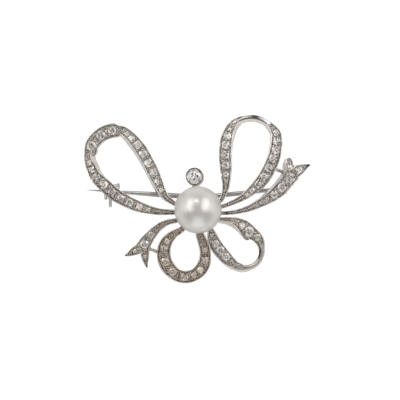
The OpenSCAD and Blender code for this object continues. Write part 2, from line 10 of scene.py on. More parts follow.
import bpy
import numpy as np
from mathutils import Matrix


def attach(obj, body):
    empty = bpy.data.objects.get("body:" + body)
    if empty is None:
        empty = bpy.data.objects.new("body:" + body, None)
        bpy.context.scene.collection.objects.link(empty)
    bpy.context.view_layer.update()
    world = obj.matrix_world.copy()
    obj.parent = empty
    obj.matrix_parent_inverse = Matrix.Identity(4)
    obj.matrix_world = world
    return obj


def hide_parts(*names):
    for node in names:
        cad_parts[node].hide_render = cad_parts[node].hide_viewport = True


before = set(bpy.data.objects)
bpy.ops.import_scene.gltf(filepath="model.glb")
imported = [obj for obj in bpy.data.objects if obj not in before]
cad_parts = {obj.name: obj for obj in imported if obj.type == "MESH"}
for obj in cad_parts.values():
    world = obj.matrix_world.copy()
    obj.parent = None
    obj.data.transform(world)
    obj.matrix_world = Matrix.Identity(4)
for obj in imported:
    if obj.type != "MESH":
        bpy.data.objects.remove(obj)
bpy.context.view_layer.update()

# %% [markdown]
# ## From arrays to a piece
# Every new piece here is an array of points and a few arrays of faces. One helper turns them
# into a mesh in metres, checks by its signed volume that the faces point outwards, hangs the
# piece on the body that carries it and hides the imported solid that it stands for. Edges
# sharper than a given angle stay crisp, which is how a polished arris and a cut facet catch the light.

# %% Put a piece into the scene
MM = 0.001


def new_object(name, data):
    """An object in the scene that holds a mesh, a light or a camera."""
    made = bpy.data.objects.new(name, data)
    bpy.context.scene.collection.objects.link(made)
    return made


def outward(points, faces):
    """The faces, turned round if the volume that they enclose comes out negative. The volume
    is the sum over the faces' triangles of first . (second x third) / 6."""
    volume = 0.0
    for group in faces:
        for k in range(1, group.shape[1] - 1):
            first, second, third = (points[group[:, j]] for j in (0, k, k + 1))
            volume += np.einsum("ij,ij->", first, np.cross(second, third)) / 6
    return faces if volume > 0 else [group[:, ::-1] for group in faces]


def add_piece(name, points, faces, finish, slot="bow_metal", replaced="bow_frame", marks={},
              crisp=38):
    """A mesh object at the origin, riding on the bow, from points in millimetres and arrays of
    faces, one array for each count of corners. marks holds values per point, or colours per
    face, by name. Edges sharper than crisp degrees stay sharp."""
    points = points.reshape(-1, 3)
    faces = outward(points, faces)
    mesh = bpy.data.meshes.new(name)
    mesh.from_pydata((points * MM).tolist(), [], [face for group in faces for face in group.tolist()],
                     shade_flat=False)
    mesh.validate()
    for mark, values in marks.items():
        kind, domain, field = (("FLOAT", "POINT", "value") if values.ndim == 1 else
                               ("FLOAT_COLOR", "FACE", "color"))
        attribute = mesh.attributes.new(mark, kind, domain)
        attribute.data.foreach_set(field, values.ravel().astype(np.float32))
    mesh.set_sharp_from_angle(angle=math.radians(crisp))
    mesh.materials.append(finish)
    piece = new_object(name, mesh)
    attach(piece, "bow")
    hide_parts(replaced)


def corners(*columns):
    """Faces from the numbers of their points, given corner by corner."""
    return np.stack(np.broadcast_arrays(*columns), -1)


def tube_faces(rings, count, closed=False):
    """Quads between neighbouring rings of count points each, and the two end faces unless the
    tube is closed, its last ring joined to its first."""
    ring = np.arange(rings if closed else rings - 1)[:, None] * count
    k = np.arange(count)
    next_k, after = (k + 1) % count, (ring + count) % (rings * count)
    quads = corners(ring + k, after + k, after + next_k, ring + next_k).reshape(-1, 4)
    return [quads] if closed else [quads, k[None, :], (rings * count - 1 - k)[None, :]]


# %% [markdown]
# ## Shader maths as Python
# A finish is easiest to read as arithmetic. The small class below wraps a socket, so that
# `1 - worn * 0.3` adds its Math nodes. Any other node comes from the finish's own method, which
# takes the node's type, its settings and the values or links of its sockets.

# %% Sockets with operators, and finishes
def joining(operation, swapped=False):
    """A method that joins its Wire and another value by a Math node, that value first if the
    two are swapped."""
    def method(wire, other):
        first, second = (other, wire) if swapped else (wire, other)
        return wire.finish.node("ShaderNodeMath", {"operation": operation}, {0: first, 1: second})
    return method


class Wire:
    """An output socket of a finish, with operators."""

    def __init__(self, finish, socket):
        self.finish, self.socket = finish, socket

    __add__, __radd__ = joining("ADD"), joining("ADD", True)
    __sub__, __rsub__ = joining("SUBTRACT"), joining("SUBTRACT", True)
    __mul__, __rmul__ = joining("MULTIPLY"), joining("MULTIPLY", True)
    __truediv__, __rtruediv__ = joining("DIVIDE"), joining("DIVIDE", True)

    def kept(self):
        """The value held between 0 and 1."""
        return self.finish.node(
            "ShaderNodeMath", {"operation": "ADD", "use_clamp": True}, {0: self, 1: 0.0})


class Finish:
    """A material, or a world, of one shader, whose fixed values are set on its own sockets."""

    def __init__(self, name, kind=bpy.data.materials, shader="Principled BSDF", **fixed):
        self.made = kind.new(name)
        self.made.use_nodes = True
        self.tree = self.made.node_tree
        self.shader = self.tree.nodes[shader]
        self.shows(**fixed)

    def node(self, kind, settings={}, inputs={}, output=0):
        """Adds a node, sets it up, fills its sockets with values or links, and gives a Wire."""
        made = self.tree.nodes.new(kind)
        for setting, value in settings.items():
            setattr(made, setting, value)
        for socket, value in inputs.items():
            self.fill(made.inputs[socket], value)
        return Wire(self, made.outputs[output])

    def fill(self, socket, value):
        """Links a Wire to the socket, or sets its value: a colour may leave out its fourth."""
        if isinstance(value, Wire):
            self.tree.links.new(value.socket, socket)
        elif hasattr(socket.default_value, "__len__") and len(socket.default_value) == 4:
            socket.default_value = (*value, 1)[:4]
        else:
            socket.default_value = value

    def place(self):
        """Where a point lies on the piece, in metres."""
        return self.node("ShaderNodeTexCoord", output="Object")

    def mark(self, name, output="Fac"):
        """A mark that the mesh carries."""
        return self.node("ShaderNodeAttribute", {"attribute_name": name}, output=output)

    def noise(self, scale, detail=2.0, where=None):
        """Cloudy noise with features about 1/scale metres across."""
        return self.node("ShaderNodeTexNoise", {}, {
            "Vector": where or self.place(), "Scale": scale, "Detail": detail})

    def mixed(self, share, first, second):
        """A colour that goes from first to second as share goes from 0 to 1."""
        return self.node("ShaderNodeMix", {"data_type": "RGBA"},
                         {"Factor": share, 6: first, 7: second}, output=2)

    def bumped(self, height, distance, strength):
        """A normal tilted by a height in the range 0 to 1 times a distance in metres."""
        return self.node("ShaderNodeBump", {}, {
            "Height": height, "Distance": distance, "Strength": strength})

    def shows(self, **sockets):
        """Fills sockets of the shader, with _ for a space, and gives the finished material."""
        for socket, value in sockets.items():
            self.fill(self.shader.inputs[socket.replace("_", " ")], value)
        return self.made


# %% [markdown]
# ## The metal of the ribbons
# The bow is old white metal: satin where the graver has worked it, dark where dirt and tarnish
# sit in the cuts, and bright along the borders that cloth and fingers rub. The ribbon surfaces
# carry three marks for this: how far a point stands up (worn); how deep it lies beside a stone
# or in a cut, which darkens it with dirt together with painted shade, and where painted dark
# reflections lie (dark); and how brown that ribbon is, partly painted shade on the lower loops
# (warm).

# %% Engraved, tarnished metal
def engraved_metal():
    """Satin metal that turns bright as worn and the cuts' noise rise, under a dark colour where dark
    is: dirt and tarnish, painted shade and painted dark reflections.
    """
    finish = Finish("engraved_metal", Metallic=1.0)
    worn, dark, warm = (finish.mark(name) for name in ("worn", "dark", "warm"))
    clouds = finish.noise(700.0, 3.0)
    cuts, grain = finish.noise(3400.0), finish.noise(9000.0)
    # warm browns and darkens the metal: its own colour, and on the lower loops partly painted shade
    # for their darker reflections.
    satin = finish.mixed(warm, (0.60, 0.565, 0.53), (0.50, 0.41, 0.335))
    bright = finish.mixed(warm, (0.90, 0.875, 0.85), (0.80, 0.71, 0.62))
    shine = (worn - 0.2 + (clouds - 0.5) * 0.9 + (cuts - 0.5) * 2.4).kept()
    metal = finish.mixed(shine, satin, bright)
    # A dark colour for dirt and tarnish in the cuts, which also paints shade and dark reflections.
    dirt_and_shade = finish.mixed(warm, (0.115, 0.095, 0.078), (0.088, 0.058, 0.040))
    tarnish_and_shade = (dark * (0.6 + clouds * 0.5) + (1.05 - worn) * ((cuts - 0.43) * 4.5).kept()).kept()
    rough = 0.40 - worn * 0.16 + (grain - 0.5) * 0.18 + dark * 0.15
    return finish.shows(
        Base_Color=finish.mixed(tarnish_and_shade, metal, dirt_and_shade), Roughness=rough.kept(),
        Normal=finish.bumped(cuts * (1.2 - worn) + grain * 0.4, 0.00005, 0.7))


def polished_metal(name, colour, rough, streak_scale=(1, 1, 1)):
    """Plain polished metal with faint wiping marks, drawn out along an axis by streak_scale."""
    finish = Finish(name, Metallic=1.0)
    stretched = finish.node("ShaderNodeMapping", {}, {
        "Vector": finish.place(), "Scale": streak_scale})
    marks = finish.noise(4200.0, 3.0, stretched)
    clouds = finish.noise(420.0)
    tone = finish.mixed((clouds * 0.7 + marks * 0.3).kept(),
                        tuple(0.80 * c for c in colour), colour)
    return finish.shows(Base_Color=tone, Roughness=(rough + (marks - 0.5) * 0.16).kept(),
                        Normal=finish.bumped(marks, 0.00001, 0.4))


METAL = engraved_metal()
POLISHED = polished_metal("polished_setting", (0.69, 0.67, 0.64), 0.2)
PIN_METAL = polished_metal("pin_metal", (0.54, 0.533, 0.527), 0.22, (0.12, 1, 1))
ROLLER_METAL = polished_metal("roller_metal", (0.90, 0.89, 0.87), 0.42)
print("metal finishes:", *(each.name for each in (METAL, POLISHED, PIN_METAL, ROLLER_METAL)))

# %% [markdown]
# ## The run of every ribbon
# A loop is a strip of metal that narrows towards the pearl and leans as it turns. Its table has
# a row for each section: its place across and up as shares of the ribbon's reach and rise, how
# far its front falls back, its width, and its lean. A smooth curve through the rows gives the
# section at any station between them, as in the part's own source.

# %% Sizes and tables of the ribbons
PEARL_X, PEARL_Y = 0.17, -1.92
BACK_Z, RIBBON_H, RIBBON_W, DROOP = 3.6, 1.4, 2.5, 3.0
FRONT_Z = BACK_Z + RIBBON_H
BORDER_W, CHANNEL_DEPTH = 0.2, 0.15

# How far each loop or tail reaches sideways from the pearl, and how far up or down
LEFT_LOOP, RIGHT_LOOP, RIGHT_TAIL = (20.7, 15.6), (15.1, 17.1), (20.3, 9.4)
LOW_LOOP, MIDDLE_LOOP, LEFT_TAIL = (12.0, 11.25), (9.8, 13.2), (13.2, 10.55)


def filled_up(rows, count):
    """Rows of count numbers: those that a row leaves out are 0."""
    return np.array([(*row, *[0.0] * count)[:count] for row in rows]).reshape(-1, count)


def ribbon(size, rows, warm, main=(), small=(), plain=(), polished=False, painted_shade_spots=()):
    """A ribbon's sections in millimetres, from shares of its size, and its main and small
    stones: station, share of the width, and, if given, offset and how much lighter its painted
    reflections are than others'. A section's fifth and sixth numbers, if given, lean it and turn it
    in plan, in degrees. warm is how brown the ribbon is, partly painted shade on the lower loops,
    plain holds stretches with no grains, and the dark spots hold painted dark reflections and
    shade: share of the way along, share of the half width, half length, half width, depth."""
    across, up, back, width, lean, turn = filled_up(rows, 6).T
    sections = np.stack([
        across * size[0] + PEARL_X, up * size[1] + PEARL_Y, FRONT_Z - back * DROOP,
        width * RIBBON_W, np.radians(lean), np.radians(turn)], -1)
    return {"sections": sections, "main": filled_up(main, 4), "small": filled_up(small, 4),
            "warm": warm, "plain": plain, "polished": polished, "painted_shade_spots": painted_shade_spots}


# The dark spots given with some ribbons are painted dark reflections and painted shade.
RIBBONS = {
    "left_loop_low": ribbon(LEFT_LOOP, [
        [-0.109, -0.035, 0, 0.36], [-0.200, -0.030, 0, 0.38], [-0.330, -0.023, 0.02, 0.50],
        [-0.426, 0, 0.04, 0.63], [-0.522, 0.040, 0.06, 0.80, -2], [-0.617, 0.097, 0.08, 0.86, -3],
        [-0.713, 0.170, 0.10, 0.94, -2], [-0.797, 0.265, 0.12, 0.97], [-0.890, 0.378, 0.18, 0.89, 12],
        [-0.931, 0.477, 0.24, 0.84, 25], [-0.957, 0.557, 0.29, 0.74, 34],
        [-0.963, 0.623, 0.32, 0.69, 36], [-0.957, 0.702, 0.34, 0.70, 34]
    ], warm=0.4,
        main=[(4.75, 0.67), (5.55, 0.63), (6.42, 0.64, 0, -0.2), (7.25, 0.64, 0, 0.2), (7.97, 0.65)],
        small=[(3.05, 0.51), (3.87, 0.62), (8.83, 0.56), (9.75, 0.52)]),
    "left_loop_fold": ribbon(LEFT_LOOP, [
        [-0.959, 0.615, 0.26, 0.58, 4], [-0.934, 0.680, 0.26, 0.98, 2], [-0.919, 0.753, 0.27, 1.04],
        [-0.880, 0.821, 0.27, 1.05], [-0.824, 0.879, 0.27, 1.08], [-0.757, 0.911, 0.27, 1.08],
        [-0.708, 0.914, 0.27, 0.98, 2], [-0.674, 0.925, 0.27, 0.58, 4]
    ], warm=0.2, main=[(1.75, 0.70), (3.65, 0.64), (5.2, 0.58)]),
    "left_loop_high": ribbon(LEFT_LOOP, [
        [-0.696, 0.921, 0.38, 0.72, 10], [-0.652, 0.909, 0.36, 0.72, 12],
        [-0.606, 0.870, 0.33, 0.75, 18], [-0.554, 0.797, 0.31, 0.86, 17],
        [-0.504, 0.713, 0.29, 0.92, 15], [-0.459, 0.616, 0.26, 0.91, 14],
        [-0.418, 0.515, 0.23, 0.90, 13], [-0.381, 0.413, 0.19, 0.86, 12],
        [-0.348, 0.315, 0.15, 0.78, 12], [-0.315, 0.222, 0.11, 0.63, 10],
        [-0.280, 0.150, 0.07, 0.47, 6], [-0.235, 0.099, 0.04, 0.39], [-0.183, 0.055, 0.01, 0.30],
        [-0.117, 0.027, 0, 0.26]
    ], warm=0.25,
        main=[(2.62, 0.64, 0, 0.2), (3.58, 0.66), (4.65, 0.68), (5.75, 0.68, 0, 0.1), (6.85, 0.70),
              (7.9, 0.66)],
        small=[(1.7, 0.54), (8.9, 0.56)]),
    "right_loop_rise": ribbon(RIGHT_LOOP, [
        [0.155, 0.021, 0, 0.27], [0.269, 0.097, 0.02, 0.32], [0.310, 0.171, 0.05, 0.40],
        [0.331, 0.251, 0.08, 0.55, 2], [0.333, 0.345, 0.12, 0.71, 4], [0.328, 0.451, 0.16, 0.87, 6],
        [0.323, 0.556, 0.20, 0.94, 6], [0.326, 0.661, 0.24, 0.93, 8], [0.340, 0.756, 0.27, 0.90, 14],
        [0.373, 0.842, 0.30, 0.78, 20], [0.420, 0.907, 0.32, 0.64, 25], [0.467, 0.947, 0.33, 0.49, 28]
    ], warm=0.2, main=[(5.18, 0.64), (6.2, 0.65), (7.23, 0.65, 0, 0.3), (8.25, 0.64, 0, 0.25)],
        small=[(3.6, 0.4), (4.3, 0.55), (9.1, 0.4)]),
    "right_loop_turn": ribbon(RIGHT_LOOP, [
        [0.422, 0.916, 0.38, 0.46, 26], [0.488, 0.958, 0.37, 0.38, 28], [0.565, 0.978, 0.38, 0.33, 28],
        [0.650, 0.983, 0.39, 0.31, 28], [0.731, 0.971, 0.38, 0.33, 28], [0.801, 0.941, 0.37, 0.33, 26],
        [0.862, 0.901, 0.38, 0.34, 22]
    ], warm=0.1, polished=True,
        painted_shade_spots=[(0.57, 0.1, 0.75, 0.31, 1.9), (0.18, 0.3, 0.6, 0.18, 1.7),
               (0.5, -0.8, 3.2, 0.16, 1.5)]),
    "right_loop_fall": ribbon(RIGHT_LOOP, [
        [0.842, 0.917, 0.34, 0.40, 22], [0.929, 0.812, 0.32, 0.73, 10], [0.940, 0.724, 0.30, 0.86, 8],
        [0.931, 0.645, 0.28, 0.90, 6], [0.912, 0.568, 0.26, 0.93, 4], [0.882, 0.495, 0.24, 0.96, 2],
        [0.841, 0.421, 0.21, 0.95, -2], [0.790, 0.346, 0.18, 0.92, -4], [0.730, 0.276, 0.15, 0.86, -2],
        [0.656, 0.216, 0.12, 0.72], [0.580, 0.158, 0.09, 0.57], [0.491, 0.108, 0.06, 0.43],
        [0.380, 0.064, 0.03, 0.36], [0.279, 0.031, 0.01, 0.32], [0.161, 0.001, 0, 0.29]
    ], warm=0.2,
        main=[(3.15, 0.68), (4.4, 0.66, -0.04), (5.75, 0.66, -0.06), (7.0, 0.63, -0.06),
              (8.15, 0.63, -0.04)], small=[(1, 0.62), (2, 0.64), (9.15, 0.6), (10, 0.55)]),
    "right_tail": ribbon(RIGHT_TAIL, [
        [0.115, -0.061, 0, 0.29], [0.204, -0.065, 0.01, 0.30], [0.293, -0.056, 0.02, 0.32],
        [0.381, -0.021, 0.03, 0.39], [0.461, 0.034, 0.05, 0.49, -2], [0.542, 0.115, 0.06, 0.61, -5],
        [0.622, 0.211, 0.07, 0.77, -9], [0.692, 0.319, 0.08, 0.95, -13],
        [0.751, 0.437, 0.10, 1.05, -16], [0.802, 0.567, 0.16, 1.10, -20],
        [0.844, 0.692, 0.22, 1.22, -24]
    ], warm=0.15, main=[(6.78, 0.62), (7.93, 0.65), (9.3, 0.70, -0.02)],
        small=[(4.6, 0.36), (5.2, 0.36), (5.93, 0.36)],
        painted_shade_spots=[(0.165, 0, 0.35, 0.3, 1.0), (0.635, 0.1, 0.35, 0.35, 1.0),
               (0.75, 0.35, 0.15, 0.15, 1.0)]),
    "right_tail_inner_point": ribbon(RIGHT_TAIL, [
        [0.822, 0.690, 0.22, 0.72, -25], [0.816, 0.830, 0.26, 0.74, -26],
        [0.811, 0.925, 0.29, 0.58, -25], [0.803, 0.998, 0.31, 0.30, -20]
    ], warm=0.1, small=[(0.85, 0.64, -0.04)]),
    "right_tail_outer_point": ribbon(RIGHT_TAIL, [
        [0.856, 0.690, 0.23, 0.84, -14], [0.900, 0.765, 0.26, 0.78, -6], [0.948, 0.821, 0.30, 0.48],
        [0.998, 0.864, 0.34, 0.06]
    ], warm=0.1, main=[(0.98, 0.66, 0, 0.25)], painted_shade_spots=[(0.87, 0.1, 0.45, 0.22, 1.0)]),
    "low_loop_fold": ribbon(LOW_LOOP, [
        [0.180, -0.123, 0, 0.24], [0.331, -0.146, 0.04, 0.29, 18], [0.451, -0.154, 0.08, 0.42, 22],
        [0.574, -0.192, 0.15, 0.72, 18], [0.682, -0.262, 0.24, 1.00, 10],
        [0.759, -0.350, 0.32, 1.18, 4, -5], [0.805, -0.408, 0.37, 1.24, 0, -25],
        [0.861, -0.442, 0.41, 1.00, -2, -36], [0.904, -0.487, 0.46, 0.80, -4, -27],
        [0.937, -0.554, 0.51, 0.58, -6, -14], [0.954, -0.631, 0.55, 0.42, -8, -5]
    ], warm=0.45, main=[(5.08, 0.64, 0.04), (7.3, 0.53, 0.12)], small=[(3.85, 0.50)]),
    "low_loop_turn": ribbon(LOW_LOOP, [
        [0.935, -0.556, 0.53, 0.50, -6], [0.954, -0.641, 0.58, 0.42, -8],
        [0.944, -0.732, 0.62, 0.36, -8], [0.904, -0.819, 0.67, 0.34, -10],
        [0.840, -0.881, 0.70, 0.33, -14], [0.757, -0.913, 0.72, 0.34, -20],
        [0.675, -0.920, 0.74, 0.42, -22], [0.600, -0.902, 0.74, 0.48, -20]
    ], warm=0.4, polished=True, painted_shade_spots=[(0.22, -0.6, 1.7, 0.24, 1.9), (0.86, 0.1, 1.2, 0.12, 1.4)]),
    "low_loop_return": ribbon(LOW_LOOP, [
        [0.684, -0.928, 0.70, 0.50, -20], [0.573, -0.887, 0.66, 0.65, -14],
        [0.478, -0.822, 0.60, 0.83, -8], [0.393, -0.737, 0.52, 0.94, -2], [0.319, -0.644, 0.43, 0.98],
        [0.256, -0.537, 0.33, 0.91], [0.215, -0.422, 0.22, 0.71], [0.191, -0.323, 0.12, 0.45],
        [0.128, -0.171, 0.01, 0.36]
    ], warm=0.35, main=[(2.7, 0.65, -0.07), (3.8, 0.66, -0.07), (4.9, 0.59, -0.05)],
        small=[(6.1, 0.37)], painted_shade_spots=[(0.97, 0, 0.9, 0.5, 0.6)]),
    "middle_loop": ribbon(MIDDLE_LOOP, [
        [-0.020, -0.173, 0, 0.50], [0.036, -0.336, 0.10, 0.60], [0.086, -0.438, 0.25, 0.72],
        [0.125, -0.533, 0.42, 0.79], [0.134, -0.635, 0.58, 0.82], [0.110, -0.737, 0.74, 0.91],
        [0.037, -0.830, 0.88, 0.94], [-0.081, -0.897, 0.97, 0.89], [-0.221, -0.922, 1.00, 0.91],
        [-0.361, -0.902, 0.97, 0.92, -3], [-0.490, -0.837, 0.88, 0.99, -4],
        [-0.584, -0.741, 0.76, 1.02, -3], [-0.628, -0.629, 0.62, 0.99], [-0.619, -0.520, 0.48, 0.94],
        [-0.560, -0.419, 0.34, 0.81], [-0.453, -0.337, 0.21, 0.63], [-0.308, -0.269, 0.10, 0.47],
        [-0.129, -0.159, 0, 0.36]
    ], warm=0.8, main=[(4.6, 0.64), (8.2, 0.65), (9.8, 0.65), (11.25, 0.66), (12.78, 0.65, 0, -0.1)],
        small=[(3.15, 0.5), (5.95, 0.5), (6.95, 0.48), (13.85, 0.48)],
        painted_shade_spots=[(0.15, 0.5, 1.1, 0.09, 0.9), (0.1, -0.1, 1.0, 0.07, 0.8),
               (0.232, 0, 0.12, 0.5, 0.9)]),
    "left_tail": ribbon(LEFT_TAIL, [
        [-0.164, -0.123, 0, 0.33], [-0.293, -0.181, 0.02, 0.38], [-0.402, -0.210, 0.05, 0.43],
        [-0.505, -0.270, 0.10, 0.55], [-0.592, -0.362, 0.17, 0.66], [-0.664, -0.468, 0.25, 0.79],
        [-0.727, -0.576, 0.34, 0.95], [-0.772, -0.683, 0.42, 1.13]
    ], warm=0.45, main=[(4.65, 0.66, 0, -0.1), (6.1, 0.67)], plain=[(0, 0.55)]),
    "left_tail_side_point": ribbon(LEFT_TAIL, [
        [-0.768, -0.655, 0.42, 0.72], [-0.855, -0.698, 0.47, 0.70], [-0.934, -0.752, 0.52, 0.42],
        [-1.000, -0.787, 0.56, 0.07]
    ], warm=0.35, small=[(1.1, 0.43)],
        painted_shade_spots=[(0.3, 0.1, 0.16, 0.12, 1.1), (0.45, -0.3, 0.14, 0.1, 1.1),
               (0.58, 0.3, 0.14, 0.1, 1.0)]),
    "left_tail_low_point": ribbon(LEFT_TAIL, [
        [-0.723, -0.669, 0.42, 0.65], [-0.724, -0.780, 0.50, 0.61], [-0.713, -0.893, 0.57, 0.37],
        [-0.694, -1.000, 0.62, 0.06]
    ], warm=0.35, small=[(1.2, 0.42)],
        painted_shade_spots=[(0.25, -0.3, 0.16, 0.12, 1.1), (0.42, 0.3, 0.14, 0.1, 1.0),
               (0.62, 0, 0.14, 0.12, 1.1)]),
}
print("ribbons:", len(RIBBONS), "with", sum(len(r["main"]) for r in RIBBONS.values()),
      "main and", sum(len(r["small"]) for r in RIBBONS.values()), "small stones")


# %% The section and the directions at any station
def sections_at(rows, s):
    """The sections at stations s. Each stretch is a cubic that passes through its two rows and
    takes its slopes from the rows before and after them."""
    last = len(rows) - 1
    longer = np.vstack([2 * rows[0] - rows[1], rows, 2 * rows[-1] - rows[-2]])
    i = np.clip(np.floor(s).astype(int), 0, last - 1)
    u = (s - i)[:, None]
    a, b, c, d = (longer[i + k] for k in range(4))
    return b + u * (c - a + u * (2 * a - 5 * b + 4 * c - d + u * (3 * b - 3 * c + d - a))) / 2


def unit(v):
    """The vectors divided by their lengths."""
    return v / np.linalg.norm(v, axis=-1, keepdims=True)


def directions_at(rows, s):
    """Across the ribbon to the left of its run, along it, and out of its front: the run is the
    curve's own direction, its left may be turned in plan, and the front leans about the run."""
    run = unit(sections_at(rows, s + 0.02)[:, :3] - sections_at(rows, s - 0.02)[:, :3])
    lean, turn = sections_at(rows, s)[:, 4:].T[..., None]
    side = unit(np.stack([-run[:, 1], run[:, 0], 0 * run[:, 0]], -1))
    left = np.cos(turn) * side + np.sin(turn) * np.cross([0.0, 0.0, 1.0], side)
    up = unit(np.cross(run, left))
    return (np.cos(lean) * left - np.sin(lean) * up, np.cross(left, up),
            np.sin(lean) * left + np.cos(lean) * up)


def seats_of(ribbon, *kinds):
    """Centres on the channel's floor, directions and radii of a ribbon's stones."""
    station, share, offset = np.concatenate([ribbon[kind] for kind in kinds])[:, :3].T
    section = sections_at(ribbon["sections"], station)
    across, run, out = directions_at(ribbon["sections"], station)
    width = section[:, 3]
    centre = section[:, :3] + (offset * width)[:, None] * across - CHANNEL_DEPTH * out
    return list(zip(centre, across, run, out, share * width / 2))


# %% [markdown]
# ## The engraved front
# The maker cuts a channel between two bright borders, drills a seat for each stone, and raises
# grains of metal with a graver over the stone's edge. All of this is a height over the ribbon's
# front, worked out for every point of its grid at once: smooth steps for the borders, a pit and
# a fine groove round each stone, and small domes for the grains.

# %% Heights over a ribbon's front
LINE_W, LINE_DEPTH, EDGE_FALL = 0.045, 0.05, 0.05
COLLAR_GAP, COLLAR_W, COLLAR_H = 0.13, 0.07, 0.09
GROOVE_GAP, GROOVE_W, GROOVE_DEPTH = 0.05, 0.055, 0.13
PIT_SLOPE, PIT_DEPTH = 0.08, 0.55
GRAIN_R, SIDE_GRAIN_R, GRAIN_TOP, CORNER_GRAIN_TOP = 0.15, 0.12, -0.02, 0.02
GRAIN_START, GRAIN_STEP, ASIDE = 0.3, 0.36, 9


def ease(x, start, end):
    """0 before start and 1 after end, with a smooth step between them."""
    t = np.clip((x - start) / (end - start), 0, 1)
    return t * t * (3 - 2 * t)


def ridge(x, half_width):
    """A rounded ridge or groove about x = 0: the bell e ** -(x / half_width) ** 2."""
    return np.exp(-(x / half_width) ** 2)


def dome(height, distance, radius, foot, top):
    """Raises the height to a grain of metal: half a ball that stands from foot to top."""
    ball = np.sqrt(np.clip(1 - (distance / radius) ** 2, 0, 1))
    return np.where(distance < radius, np.maximum(height, foot + (top - foot) * ball), height)


def painted_shade_spots_on(ribbon, width, along, offset):
    """Painted dark reflections and shade: bells about a place along and across the ribbon."""
    dark = 0 * offset
    for place, side, length, breadth, depth in ribbon["painted_shade_spots"]:
        bell = ridge(along - place * along.max(), length) * ridge(offset - side * width / 2, breadth)
        dark = np.maximum(dark, depth * bell)
    return dark


def grains_on(ribbon, seats, flat, inwards, rim, walked):
    """Grains of metal at even steps down the middle and both sides of a ribbon's channel, clear
    of stones, borders and plain stretches: each point's distance, the radius and the top."""
    middle = flat.shape[1] // 2
    for step in np.arange(GRAIN_START, walked.max() - 0.2, GRAIN_STEP):
        row = np.searchsorted(walked, step)
        plain = any(low <= step / walked.max() <= high for low, high in ribbon["plain"])
        for aside, size in ((0, GRAIN_R), (-ASIDE, SIDE_GRAIN_R), (ASIDE, SIDE_GRAIN_R)):
            column = middle + aside
            point = flat[row, column]
            clear = all(np.linalg.norm(point - seat[0]) > seat[4] + size + 0.08 for seat in seats)
            if clear and not plain and inwards[row, column] > rim[row, 0] + size:
                yield np.linalg.norm(flat - point, axis=-1), size, GRAIN_TOP


def engraved_front(ribbon, flat, width, inwards, along, offset):
    """The height of a ribbon's front and its worn and dark marks. inwards is the distance from
    the nearer edge, along the distance walked, and offset that to the left of the middle."""
    rim = np.minimum(BORDER_W, 0.25 * width)
    # The dark spots are painted dark reflections and painted shade, laid into the dark mark.
    painted_shade_spots = painted_shade_spots_on(ribbon, width, along, offset)
    if ribbon["polished"]:
        height = -0.30 * (offset / (width / 2)) ** 2 * np.minimum(width / 2, 0.5)
        return height, np.full_like(height, 1.0), painted_shade_spots
    border = 1 - ease(inwards, 0.75 * rim, 1.25 * rim)
    line = ridge(inwards - 1.5 * rim, LINE_W)
    height = (-CHANNEL_DEPTH * (1 - border) - EDGE_FALL * (1 - ease(inwards, 0, 0.35 * rim))
              - LINE_DEPTH * line)
    dark = line * (0.34 + 0.28 * np.sin(3.7 * along + 2 * np.sin(1.9 * along)))
    grains = []
    seats = seats_of(ribbon, "main", "small")
    for centre, across, run, out, radius in seats:
        x, y = (flat - centre) @ across, (flat - centre) @ run
        distance = np.hypot(x, y)
        collar = ridge(distance - radius - COLLAR_GAP, COLLAR_W) * (1 - border)
        groove = ridge(distance - radius - GROOVE_GAP, GROOVE_W)
        pit = 1 - ease(distance, radius - PIT_SLOPE, radius)
        height = height + COLLAR_H * collar - GROOVE_DEPTH * groove
        height = height * (1 - pit) - PIT_DEPTH * pit
        uneven = 0.78 + 0.2 * np.sin(2 * np.arctan2(y, x) + 40 * radius)
        # The groove round each stone and the pit under it are darkened: dirt together with painted
        # shade.
        dark = np.maximum(np.maximum(dark, uneven * groove), pit)
        corner = 0.71 * (radius + 0.05)
        grains += [(np.hypot(x - side * corner, y - end * corner), 0.11 + 0.07 * radius,
                    CORNER_GRAIN_TOP) for side in (-1, 1) for end in (-1, 1)]
    grains += grains_on(ribbon, seats, flat, inwards, rim, along.ravel())
    for distance, radius, top in grains:
        dark = np.maximum(dark, 0.8 * ridge(distance - radius - 0.02, 0.035) * (1 - border))
        height = dome(height, distance, radius, -CHANNEL_DEPTH - 0.04, top)
        dark = np.where(distance < 0.8 * radius, 0.0, dark)
    worn = np.clip(1.1 + height / CHANNEL_DEPTH, 0, 1)
    return height, worn, np.clip(np.maximum(dark, painted_shade_spots), 0, 1)


# %% A ribbon's whole surface
STEP = 0.085
FRONT, SIDE, BACK = 37, 3, 13


def back_dimples(ribbon, flat):
    """The back is opened behind each stone to let light in: a shallow round dimple there, painted dark
    as shade in the hollow.
    """
    height = np.full(flat.shape[:2], -RIBBON_H)
    dark = 0 * height
    for centre, across, run, out, radius in seats_of(ribbon, "main", "small"):
        distance = np.hypot((flat - centre) @ across, (flat - centre) @ run)
        hollow = 1 - ease(distance, 0.45 * radius, 0.72 * radius)
        height, dark = height + 0.32 * hollow, np.maximum(dark, 0.85 * hollow)
    return height, dark


